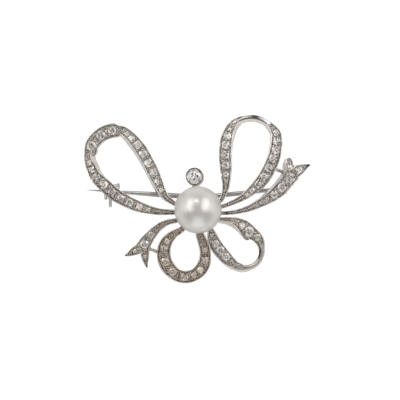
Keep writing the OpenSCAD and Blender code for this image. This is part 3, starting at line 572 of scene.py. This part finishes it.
def ribbon_surface(ribbon):
    """Rings of a closed profile, front, side, back and side, carried along the ribbon's curve at
    even steps: point = place + share * half the width * across + height * out."""
    rows = ribbon["sections"]
    dense = np.linspace(0, len(rows) - 1, 60 * len(rows))
    way = sections_at(rows, dense)[:, :3]
    walked = np.concatenate([[0], np.cumsum(np.linalg.norm(np.diff(way, axis=0), axis=1))])
    along = np.linspace(0, walked[-1], int(walked[-1] / STEP) + 2)
    s = np.interp(along, walked, dense)
    section = sections_at(rows, s)
    across, run, out = directions_at(rows, s)
    place, half = section[:, None, :3], section[:, 3, None] / 2

    share = np.sin(np.linspace(-1.2, 1.2, FRONT)) / math.sin(1.2)
    flat = place + (half * share)[..., None] * across[:, None]
    height, worn, dark = engraved_front(ribbon, flat, 2 * half, half * (1 - np.abs(share)),
                                        along[:, None], half * share)
    front = flat + height[..., None] * out[:, None]

    down = np.array([0.16, 0.5, 0.93]) * RIBBON_H
    left = place + half[..., None] * across[:, None] - down[:, None] * out[:, None]
    right = place - half[..., None] * across[:, None] - down[::-1, None] * out[:, None]

    share = np.linspace(0.95, -0.95, BACK)
    flat = place + (half * share)[..., None] * across[:, None]
    low, back_dark = back_dimples(ribbon, flat)
    back = flat + low[..., None] * out[:, None]

    points = np.concatenate([front, left, back, right], 1)
    side = np.full((len(s), SIDE), 1.15)
    none = 0 * side
    worn = np.concatenate([worn, side, np.full(low.shape, 0.55), side], 1)
    dark = np.concatenate([dark, none, back_dark, none], 1)
    return points, {"worn": worn.ravel(), "dark": dark.ravel(),
                    "warm": np.full(worn.size, ribbon["warm"])}


for name, each in RIBBONS.items():
    points, marks = ribbon_surface(each)
    rings, count = points.shape[:2]
    add_piece(name + "_ribbon", points, tube_faces(rings, count), METAL, marks=marks)
    print(f"{name}: {rings} rings of {count} points")

# %% [markdown]
# ## Cup, collet, struts and findings
# The pearl stands in a turned cup with a peg, and the single stone in a turned collet. A turned
# piece is a profile carried round an axis. Thin struts brace the tails, and on the back two lugs
# hold the pin's rivet and two cheeks hold the catch's roller. Lugs and cheeks are flat plates
# with a bore, so they are a bevelled section carried round the bore instead.

# %% Turned pieces
def turned(profile, centre, turns, axis=(0, 0, 1)):
    """A closed surface of revolution: profile points (radius, height) carried round an axis
    through centre. The first and last points lie on the axis and become single poles."""
    profile = np.array(profile, float)
    axis = unit(np.array(axis, float))
    first = unit(np.cross([0.0, 1.0, 0.0] if abs(axis[1]) < 0.9 else [1.0, 0.0, 0.0], axis))
    second = np.cross(axis, first)
    angle = np.linspace(0, 2 * math.pi, turns, endpoint=False)
    spoke = np.cos(angle)[:, None] * first + np.sin(angle)[:, None] * second
    rings = profile[1:-1, 0, None, None] * spoke + profile[1:-1, 1, None, None] * axis
    poles = profile[[0, -1], 1, None] * axis
    points = np.concatenate([rings.reshape(-1, 3), poles]) + np.array(centre, float)
    count = len(rings) * turns
    quads = tube_faces(len(rings), turns)[0]
    k = np.arange(turns)
    after = (k + 1) % turns
    bottom = corners(count, k, after)
    top = corners(count + 1, count - turns + after, count - turns + k)
    return points, [quads, np.concatenate([bottom, top])]


def plain_marks(points, worn, warm):
    """The metal's marks for a piece that is evenly worn, with no dirt and no painted shade."""
    size = points.size // 3
    return {"worn": np.full(size, worn), "dark": np.zeros(size), "warm": np.full(size, warm)}


PEARL_D, PEARL_GAP = 8.5, 0.05
CUP_D, CUP_FLOOR, CUP_LIP, PEG_D, PEG_L = 5.4, 0.9, 0.2, 0.8, 4.5
CUP_R, HOLLOW_R = CUP_D / 2, PEARL_D / 2 + PEARL_GAP
PEARL_Z = FRONT_Z + math.sqrt(HOLLOW_R ** 2 - (CUP_R - CUP_LIP) ** 2)
CUP_FOOT_Z = PEARL_Z - HOLLOW_R - CUP_FLOOR
bowl = np.linspace(math.asin((CUP_R - CUP_LIP) / HOLLOW_R), math.asin(PEG_D / 2 / HOLLOW_R), 14)
cup_profile = [(0, CUP_FOOT_Z), (CUP_R - 0.55, CUP_FOOT_Z), (CUP_R - 0.35, CUP_FOOT_Z + 0.06),
               (CUP_R - 0.04, CUP_FOOT_Z + 0.37), (CUP_R, CUP_FOOT_Z + 0.5),
               (CUP_R, FRONT_Z - 0.08), (CUP_R - 0.06, FRONT_Z)]
cup_profile += list(zip(HOLLOW_R * np.sin(bowl), PEARL_Z - HOLLOW_R * np.cos(bowl)))
PEG_TOP = CUP_FOOT_Z + CUP_FLOOR + PEARL_GAP + PEG_L
cup_profile += [(PEG_D / 2, PEG_TOP - 0.1), (PEG_D / 2 - 0.1, PEG_TOP), (0, PEG_TOP)]
add_piece("pearl_cup", *turned(cup_profile, (PEARL_X, PEARL_Y, 0), 96), POLISHED)
print(f"the pearl's middle is {PEARL_Z:.2f} mm up")

# %% The collet and the stem that carries it
BEZEL_D, BEZEL_H, BEZEL_STONE_D, BEZEL_RECESS = 3.15, 2.6, 2.45, 0.35
BEZEL_LEAN, LEAN_ANGLE, BEZEL_ANGLE = math.radians(10), math.radians(125), math.radians(96.3)
away = PEARL_D / 2 + 0.25 + BEZEL_D / 2
BEZEL_TOP = np.array([PEARL_X + away * math.cos(BEZEL_ANGLE), PEARL_Y + away * math.sin(BEZEL_ANGLE),
                      BACK_Z + 0.3 + BEZEL_H])
BEZEL_AXIS = np.array([math.sin(BEZEL_LEAN) * math.cos(LEAN_ANGLE),
                       math.sin(BEZEL_LEAN) * math.sin(LEAN_ANGLE), math.cos(BEZEL_LEAN)])
outside, inside = BEZEL_D / 2, BEZEL_STONE_D / 2 + 0.07
collet_profile = [
    (0, -BEZEL_H), (outside - 0.3, -BEZEL_H), (outside - 0.22, -BEZEL_H + 0.05),
    (outside, -BEZEL_H + 0.5), (outside, -0.62), (outside - 0.05, -0.52), (outside, -0.42),
    (outside, -0.09), (outside - 0.05, -0.02), (outside - 0.1, 0), (outside - 0.15, -0.02),
    (inside + 0.09, -0.16), (inside + 0.05, -0.3), (inside + 0.05, -0.5), (inside - 0.1, -0.62),
    (0.3, -1.35), (0, -1.4)]
points, faces = turned(collet_profile, BEZEL_TOP, 96, BEZEL_AXIS)
rim_height = (points - BEZEL_TOP) @ BEZEL_AXIS
add_piece("collet", points, faces, METAL, marks={
    **plain_marks(points, 0.9, 0.15), "dark": 0.95 * ease(rim_height, -0.2, -0.06)})


def stacked(outline, levels):
    """A closed outline carried up through levels of (height, inset): each point moves towards
    the outline's middle by the inset."""
    outline = np.asarray(outline, float)
    middle = outline.mean(0)
    inward = unit(middle - outline)
    rings = [np.column_stack([outline + inset * inward, np.full(len(outline), z)])
             for z, inset in levels]
    return np.array(rings), tube_faces(len(levels), len(outline))


STEM_R, STEM_REACH = 0.6, 0.93
to_bezel = STEM_REACH * (BEZEL_TOP[:2] - [PEARL_X, PEARL_Y])
heading = math.atan2(to_bezel[1], to_bezel[0])
half_round = np.linspace(-math.pi / 2, math.pi / 2, 17)
circle = STEM_R * np.stack([np.cos(half_round + heading), np.sin(half_round + heading)], -1)
outline = np.concatenate([circle + to_bezel, -circle]) + [PEARL_X, PEARL_Y]
levels = [(3.5, 0.15), (3.58, 0.03), (3.7, 0), (4.3, 0), (4.45, 0.05), (4.5, 0.15)]
add_piece("collet_stem", *stacked(outline, levels), POLISHED)
print("collet top at", BEZEL_TOP.round(3))


# %% Struts between tail and loop
STRUT_R, FLARE, FLARE_AT, FLARE_W = 0.30, 0.10, 0.9, 0.35


def strut(name, ribbon_a, station_a, ribbon_b, station_b):
    """A round rod between the middles of two ribbons, flared where it is soldered: its radius
    grows by a bell at each end."""
    ends = [sections_at(RIBBONS[r]["sections"], np.array([s]))[0, :3] - [0, 0, RIBBON_H / 2]
            for r, s in ((ribbon_a, station_a), (ribbon_b, station_b))]
    length = np.linalg.norm(ends[1] - ends[0])
    t = np.linspace(0, length, 29)
    bells = ridge(t - FLARE_AT, FLARE_W) + ridge(length - FLARE_AT - t, FLARE_W)
    profile = [(0, 0), *zip(STRUT_R + FLARE * bells, t), (0, length)]
    points, faces = turned(profile, ends[0], 24, ends[1] - ends[0])
    add_piece(name, points, faces, METAL, marks=plain_marks(points, 0.3, 0.3))


strut("tail_strut", "right_loop_fall", 5.6, "right_tail", 9.7)
strut("lower_strut", "left_tail", 6.5, "middle_loop", 12.2)


# %% Plates with a bore: hinge lugs and catch cheeks
def round_with_neck(angle, radius, neck_half, neck_top):
    """Points of a disc with a straight neck going up, seen from its middle: the further of the
    circle and the neck's own outline in each direction. Angle 0 points up."""
    across, up = np.sin(angle), np.cos(angle)
    with np.errstate(divide="ignore"):
        neck = np.where(up > 0, np.minimum(neck_half / np.abs(across), neck_top / up), 0)
    return np.maximum(radius, neck)[:, None] * np.stack([across, up], -1)


def pair_of_plates(name, sides, place, directions, angles, radii, neck, thickness, gap, warm,
                   rounding=0.05, closed=True, bevel=0.05):
    """Two plates on either side of a place, with a gap between them: an eight-point section
    carried round a bore, bevelled at the bore and rounded outside. angles and radii are those
    of the outline and the bore, and neck is its half width and top. directions says which of a
    plate's own coordinates, across, up and through, run along x, y and z."""
    outer = round_with_neck(angles[0], radii[0], *neck)
    inner = radii[1] * np.stack([np.sin(angles[1]), np.cos(angles[1])], -1)
    wide = np.linalg.norm(outer - inner, axis=1, keepdims=True)
    half = thickness / 2
    section = [(0 * wide, bevel - half), (bevel / wide, -half), (1 - rounding / wide, -half),
               (0 * wide + 1, rounding - half), (0 * wide + 1, half - rounding),
               (1 - rounding / wide, half), (bevel / wide, half), (0 * wide, half - bevel)]
    rings = np.stack([
        np.column_stack([inner + share * (outer - inner), np.full(len(outer), depth)])
        for share, depth in section], 1)
    for word, side in sides:
        points = place + (rings + [0, 0, side * (gap + thickness) / 2])[..., directions]
        add_piece(f"{name}_{word}", points, tube_faces(len(outer), 8, closed), METAL,
                  marks=plain_marks(points, 0.6, warm))


LUG_D, LUG_T, EYE_W, RIVET_D, RUNNING_GAP, SIDE_GAP = 2.0, 0.4, 0.8, 0.76, 0.04, 0.05
CHEEK_D, CHEEK_T, ROLLER_L, JOURNAL_D, SLOT_W, CHEEK_NECK_W = 3.1, 0.5, 1.7, 1.9, 0.84, 0.8
PIN_Z = math.sqrt((CHEEK_D / 2) ** 2 - (SLOT_W / 2) ** 2)


def under(name, station, aside):
    """The place of a finding: below a station of a ribbon, beside its centre line by a share of
    its width. Gives it and the height where its neck enters the ribbon."""
    rows = RIBBONS[name]["sections"]
    section = sections_at(rows, np.array([station]))[0]
    across = directions_at(rows, np.array([station]))[0][0]
    spot = section[:3] + aside * section[3] * across
    return np.array([spot[0], spot[1], PIN_Z]), section[2] - RIBBON_H + 0.3


HINGE, hinge_neck = under("right_tail", 7.75, -0.07)
CATCH, catch_neck = under("left_loop_low", 6.45, 0)
lug_neck = (0.33 * LUG_D, hinge_neck - PIN_Z)
neck_corner = math.atan2(*lug_neck)
round_lug = np.sort([*np.linspace(-math.pi, math.pi, 96, endpoint=False), -neck_corner, neck_corner])
pair_of_plates("hinge_lug", [("upper", 1), ("lower", -1)], HINGE, [0, 2, 1],
               (round_lug, round_lug), (LUG_D / 2, RIVET_D / 2 + RUNNING_GAP), lug_neck,
               LUG_T, EYE_W + 2 * SIDE_GAP, 0.4)

bore_r = JOURNAL_D / 2 + RUNNING_GAP
round_cheek = np.linspace(-1, 1, 129)
pair_of_plates("catch_cheek", [("left", -1), ("right", 1)], CATCH, [2, 0, 1],
               (round_cheek * (math.pi - math.asin(SLOT_W / CHEEK_D)),
                round_cheek * (math.pi - math.asin(SLOT_W / 2 / bore_r))),
               (CHEEK_D / 2, bore_r), (CHEEK_NECK_W / 2, catch_neck - PIN_Z),
               CHEEK_T, ROLLER_L + 2 * SIDE_GAP, 0.35, rounding=0.17, closed=False)
print("hinge at", HINGE.round(3), "and catch at", CATCH.round(3))

# %% [markdown]
# ## The stones
# Old-cut stones have a small table, a steep crown and a deep pavilion, and what one sees through
# the table is a jumble of bright and dark facets. A clear solid would turn to noise in a small
# picture, so each facet here is a face of its own painted with the reflection that it sends back,
# in bright and dark tones, under the strong gloss of a hard stone and with a faint painted glow
# in the same tone. The tones are drawn by a seeded generator, stone by stone.

# %% A cut stone of radius 1
def ring_of(count, radius, z, turn=0.0):
    """Points at even angles round a circle, the first turned by a share of a step."""
    angle = 2 * math.pi * (np.arange(count) + turn) / count
    return np.stack([radius * np.cos(angle), radius * np.sin(angle), np.full(count, z)], -1)


def cut_stone():
    """Rings from the table's middle out to the girdle and down to the culet, joined by
    triangles and kites as a cutter places them: star, kite and girdle facets round the table."""
    k, next_k = np.arange(8), (np.arange(8) + 1) % 8
    middle, inner, table, star, rim, under_rim, culet = 0, 1, 9, 17, 25, 41, 57
    points = np.concatenate([
        [[0, 0, 0.30]], ring_of(8, 0.27, 0.272), ring_of(8, 0.55, 0.292, 0.5),
        ring_of(8, 0.77, 0.17), ring_of(16, 1.0, 0.0), ring_of(16, 1.0, -0.06),
        [[0, 0, -0.86]]])
    j, next_j = np.arange(16), (np.arange(16) + 1) % 16
    triangles = np.concatenate([
        corners(middle, inner + k, inner + next_k),
        corners(inner + k, table + k, inner + next_k),
        corners(inner + next_k, table + k, table + next_k),
        corners(table + k, star + next_k, table + next_k),
        corners(star + k, rim + (2 * k - 1) % 16, rim + 2 * k),
        corners(star + k, rim + 2 * k, rim + 2 * k + 1),
        corners(under_rim + j, culet, under_rim + next_j)])
    quads = np.concatenate([
        corners(table + k, star + k, rim + 2 * k + 1, star + next_k),
        corners(rim + j, under_rim + j, under_rim + next_j, rim + next_j)])
    return points, triangles, quads


STONE_POINTS, STONE_TRIANGLES, STONE_QUADS = cut_stone()


def stone_tones(rng, count, tint, light, star):
    """A painted reflection for every facet: white, light grey, grey or dark, drawn by chance, and in
    the fourth place whether the facet sends light back like a mirror. The facets of one eighth of
    the table lean towards one tone. star draws light and dark by turns round the table."""
    def drawn(number, tones, shares):
        return rng.choice(tones, (count, number), p=shares)

    eighth = drawn(8, [1.0, 0.72, 0.45, 0.10], [0.33, 0.29, 0.22, 0.16])
    table = np.concatenate([eighth, np.roll(eighth, 1, axis=1), eighth], 1)
    table = 0.65 * table + 0.35 * drawn(24, [1.0, 0.7, 0.4, 0.1], [0.3, 0.3, 0.25, 0.15])
    by_turns = np.concatenate([
        [1.0, 1.0, 0.3, 1.0, 1.0, 0.7, 1.0, 0.4], [0.05, 0.95, 0.1, 0.05, 0.95, 0.1, 0.9, 0.05],
        [1.0, 0.05, 1.0, 0.9, 0.1, 1.0, 0.05, 1.0]])
    table = (1 - star) * table + star * by_turns
    star_ring = drawn(8, [1.0, 0.72, 0.45, 0.14], [0.30, 0.38, 0.22, 0.10])
    girdle = drawn(16, [1.0, 0.82, 0.58, 0.28], [0.34, 0.36, 0.20, 0.10])
    kites = drawn(8, [1.0, 0.78, 0.52, 0.20], [0.38, 0.34, 0.19, 0.09])
    value = np.concatenate([table, star_ring, girdle, np.full((count, 16), 0.3), kites,
                            np.full((count, 16), 0.12)], 1)
    value = np.clip(value * rng.uniform(0.9, 1.08, value.shape) * light, 0.02, 1)
    mirror = rng.choice([0.0, 1.0], value.shape, p=[0.7, 0.3])
    return np.concatenate([value[..., None] ** 1.2 * tint, mirror[..., None]], -1).clip(0, 1)


def diamonds():
    """Gloss over each facet's painted reflection, dimmed in soft patches, with a faint painted glow in
    the same tone, and a mirror on some facets.
    """
    # Emission gives each facet a faint painted glow in its own tone.
    finish = Finish("old_cut_stone", Roughness=0.12, IOR=1.9, Coat_Weight=0.3,
                    Coat_Roughness=0.05, Emission_Strength=0.10)
    tone, mirror = (finish.mark("tone", output) for output in ("Color", "Alpha"))
    inside = finish.noise(2600.0, 1.0)
    dim = finish.mixed(0.35, tone, (0.0, 0.0, 0.0))
    return finish.shows(Base_Color=finish.mixed((inside * 1.6 - 0.2).kept(), dim, tone),
                        Metallic=(mirror * 0.9).kept(), Emission_Color=tone)


DIAMOND = diamonds()
# A girdle reaches a little way under the metal round its seat
STONE_FIT = 1.04


def set_stones(name, seats, seed, tints, lights, replaced, star=0.0):
    """One piece of the stones in the given seats: each unit stone is scaled by its radius and
    placed along its seat's three directions. Each stone has a tint and a lightness of its own,
    which sets how bright its painted reflections are."""
    rng = np.random.default_rng(seed)
    turn = rng.uniform(0, math.pi / 4, len(seats))
    points = []
    for (centre, across, run, out, radius), t in zip(seats, turn):
        x = math.cos(t) * across + math.sin(t) * run
        y = np.cross(out, x)
        points.append(centre + STONE_FIT * radius * STONE_POINTS @ np.stack([x, y, out]))
    shift = (np.arange(len(seats)) * len(STONE_POINTS))[:, None, None]
    triangles = (STONE_TRIANGLES + shift).reshape(-1, 3)
    quads = (STONE_QUADS + shift).reshape(-1, 4)
    tints = np.array(tints, float).reshape(-1, 1, 3)
    lights = np.array(lights, float).reshape(-1, 1)
    tones = stone_tones(rng, len(seats), tints, lights, star)
    tones = np.concatenate([tones[:, :len(STONE_TRIANGLES)].reshape(-1, 4),
                            tones[:, len(STONE_TRIANGLES):].reshape(-1, 4)])
    add_piece(name, np.array(points), [triangles, quads], DIAMOND, "stones", replaced,
              marks={"tone": tones}, crisp=0.5)


LARGE_STONE = 0.72
small, small_tints = [], []
for number, (name, each) in enumerate(RIBBONS.items()):
    tint = (1.0, 0.875, 0.75) if each["warm"] > 0.5 else (1.0, 0.93, 0.86)
    for k, seat in enumerate(seats_of(each, "main")):
        node = f"{name}_stone_{k + 1}"
        # Painted reflections: stones on browner ribbons are painted darker, and some main stones
        # lighter.
        light = (0.93 - 0.2 * each["warm"]) * (1 + each["main"][k, 3])
        star = 0.4 if seat[4] > LARGE_STONE else 0.0
        set_stones(node + "_cut", [seat], 100 * number + k, tint, light, node, star)
    small += seats_of(each, "small")
    small_tints += [tint] * len(each["small"])
set_stones("small_stones_cut", small, 7, small_tints, [1.0] * len(small), "small_stones")
out = BEZEL_AXIS
across = unit(np.cross([0.0, 1.0, 0.0], out))
set_stones("bezel_stone_cut",
           [(BEZEL_TOP - BEZEL_RECESS * out, across, np.cross(out, across), out, inside)],
           5, (1.0, 0.985, 0.96), 1.16, "bezel_stone", 0.9)
print("stones set:", sum(len(r["main"]) for r in RIBBONS.values()) + 1, "and", len(small), "small")

# %% [markdown]
# ## The pearl
# A pearl is layer on layer of thin nacre. It looks like a soft mirror over a cream body: lights
# spread into broad highlights, and the ground shows as a pale ring near its edge. The surface is
# a ball with faint growth waves, and the finish is half mirror, half milk.

# %% The pearl's surface and nacre
def pearl_surface():
    """A ball drilled from below: its profile runs up the drill hole, back down its wall, and
    round the ball to the top; then low waves in angle and height move each point by a few
    hundredths of a millimetre."""
    radius, hole = PEARL_D / 2, PEG_D / 2 + PEARL_GAP
    start = math.asin(hole / radius)
    polar = np.linspace(start, math.pi, 90)
    hole_top = PEG_TOP + 0.1 - PEARL_Z
    profile = [(0, hole_top), (hole, hole_top), (hole, -radius * math.cos(start) + 0.05)]
    profile += [(radius * math.sin(p), -radius * math.cos(p)) for p in polar[:-1]] + [(0, radius)]
    points, faces = turned(profile, (0, 0, 0), 160)
    x, y, z = points.T
    angle = np.arctan2(y, x)
    wave = np.sin(2 * angle + 0.8 * z) + 0.6 * np.sin(3 * angle - 1.3 * z + 1.1) + np.sin(1.1 * z)
    outer = np.hypot(np.hypot(x, y), z) > radius - 0.02
    points = points * (1 - 0.0016 * (1 + wave / 2.6) * outer)[:, None]
    return points + [PEARL_X, PEARL_Y, PEARL_Z], faces


PEARL_SHADE_Z, PEARL_SHADE_H = 10.2, 2.2


def nacre():
    """Cream with clouds, and painted shade below a height: greener and darker, more so the lower it
    lies.
    """
    finish = Finish("nacre", Metallic=0.68, Coat_Weight=0.1, Coat_Roughness=0.2)
    clouds, fine = finish.noise(160.0, 3.0), finish.noise(1500.0)
    body = finish.mixed(clouds, (0.75, 0.717, 0.67), (0.70, 0.684, 0.666))
    height = finish.node("ShaderNodeSeparateXYZ", {}, {0: finish.place()}, output=2)
    # Painted shade: the body darkens and greens the further a point lies below the shade's height.
    depth = ((PEARL_SHADE_Z * MM - height) / (PEARL_SHADE_H * MM)).kept()
    body = finish.mixed(depth * depth * 0.4, body, (0.50, 0.49, 0.43))
    return finish.shows(Base_Color=body, Roughness=(0.34 + (fine - 0.5) * 0.1).kept(),
                        Normal=finish.bumped(fine, 0.00002, 0.3))


add_piece("pearl_nacre", *pearl_surface(), nacre(), "pearl", "pearl")

# %% [markdown]
# ## Pin, rivet and roller
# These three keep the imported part's own shapes, which are exact: a round tapered stem with its
# eye, a headed rivet and a slotted roller with a thumb tab. They only get their finishes, mid
# grey with fine wiping marks along the stem, and brighter on the roller.

# %% Finish the carried-over parts
for node, finish in (("pin_stem", PIN_METAL), ("hinge_rivet", POLISHED),
                     ("catch_roller", ROLLER_METAL)):
    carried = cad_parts[node].data
    carried.materials.clear()
    carried.materials.append(finish)
    print(node, "is finished in", finish.name)

# %% [markdown]
# ## Paper, light and camera
# The brooch lies on a sheet of white paper. Two soft boxes stand at the upper left and right,
# where the pearl shows them, with a small light between them, a cool reflector at the front and
# a warm board at each side. A grey room gives the flat metal its mid tone. The camera looks
# straight down from far off.

# %% The sheet of paper
def paper_sheet(half=450.0, count=25):
    """A flat grid that stays level under the brooch and lifts slightly towards its rim."""
    x, y = np.meshgrid(np.linspace(-half, half, count), np.linspace(-half, half, count))
    lift = 6.0 * ease(np.hypot(x, y), 260.0, half)
    points = np.stack([x, y, lift], -1).reshape(-1, 3) * MM
    i = (np.arange(count - 1)[:, None] * count + np.arange(count - 1)).ravel()
    quads = corners(i, i + 1, i + count + 1, i + count)
    mesh = bpy.data.meshes.new("paper")
    mesh.from_pydata(points.tolist(), [], quads.tolist())
    finish = Finish("white_paper", Roughness=0.9, Emission_Strength=1.0)
    fibre = finish.noise(350.0, 4.0)
    white = finish.mixed(fibre, (0.38, 0.38, 0.38), (0.42, 0.42, 0.42))
    seen = finish.node("ShaderNodeLightPath", output="Is Camera Ray")
    glow = finish.mixed(seen, (0.46, 0.46, 0.46), (0.86, 0.86, 0.86))
    mesh.materials.append(finish.shows(Base_Color=white, Emission_Color=glow))
    new_object("paper", mesh)


paper_sheet()


# %% Soft boxes and the grey room
# The point that every light faces, in metres
AIM = [0, 0, 0.005]


def soft_box(name, direction, distance, wide, tall, radiance, turn=0.0, colour=(1, 1, 1)):
    """An area light that faces the brooch from a direction, turned about its own axis by turn
    degrees. Its power is the radiance wanted times pi times its area."""
    light = bpy.data.lights.new(name, "AREA")
    light.shape, light.size, light.size_y = "RECTANGLE", wide, tall
    light.energy, light.color = radiance * math.pi * wide * tall, colour
    away = unit(np.array(direction, float))
    level = unit(np.cross([0.0, 0.0, 1.0], away))
    turn = math.radians(turn)
    side = math.cos(turn) * level + math.sin(turn) * np.cross(away, level)
    matrix = np.eye(4)
    matrix[:3] = np.column_stack([side, np.cross(away, side), away, away * distance + AIM])
    new_object(name, light).matrix_world = Matrix(matrix.tolist())


soft_box("left_soft_box", (-0.62, 0.40, 0.68), 0.35, 0.38, 0.17, 1.5, 37)
soft_box("right_soft_box", (0.59, 0.41, 0.69), 0.35, 0.39, 0.20, 1.55, -48)
soft_box("top_light", (-0.13, 0.69, 0.71), 0.35, 0.10, 0.08, 3.2)
soft_box("front_reflector", (0.0, -0.877, 0.48), 0.35, 0.30, 0.34, 0.72, 0, (0.92, 0.95, 1.0))
for word, side in (("left", -1), ("right", 1)):
    soft_box(word + "_board", (side * 0.92, 0.13, 0.38), 0.40, 0.24, 0.22, 0.6, 0, (1.0, 0.97, 0.93))


def grey_room(horizon=0.72, zenith=0.39):
    """A room with pale walls and a darker ceiling: its light falls off from the horizon up."""
    room = Finish("grey_room", bpy.data.worlds, "Background", Color=(1.0, 0.995, 0.985))
    height = room.node("ShaderNodeSeparateXYZ", {}, {
        0: room.node("ShaderNodeTexCoord", output="Generated")}, output="Z")
    fall = room.node("ShaderNodeMapRange", {"interpolation_type": "SMOOTHSTEP"}, {
        "Value": height, "From Min": 0.10, "From Max": 0.45, "To Min": horizon, "To Max": zenith})
    bpy.context.scene.world = room.shows(Strength=fall)


grey_room()
bpy.context.scene.view_settings.view_transform = "Standard"

# %% The camera, as in the photograph
# The picture shows this width at this height
PICTURE_W, PICTURE_Z = 72.0, 4.0
CAMERA_X, CAMERA_Y, CAMERA_Z = 0.53, -0.16, 604.0
eye = bpy.data.cameras.new("camera")
eye.sensor_width = 36.0
eye.lens = eye.sensor_width * (CAMERA_Z - PICTURE_Z) / PICTURE_W
eye.clip_start, eye.clip_end = 0.05, 5.0
camera = new_object("camera", eye)
camera.location = (CAMERA_X * MM, CAMERA_Y * MM, CAMERA_Z * MM)
bpy.context.scene.camera = camera
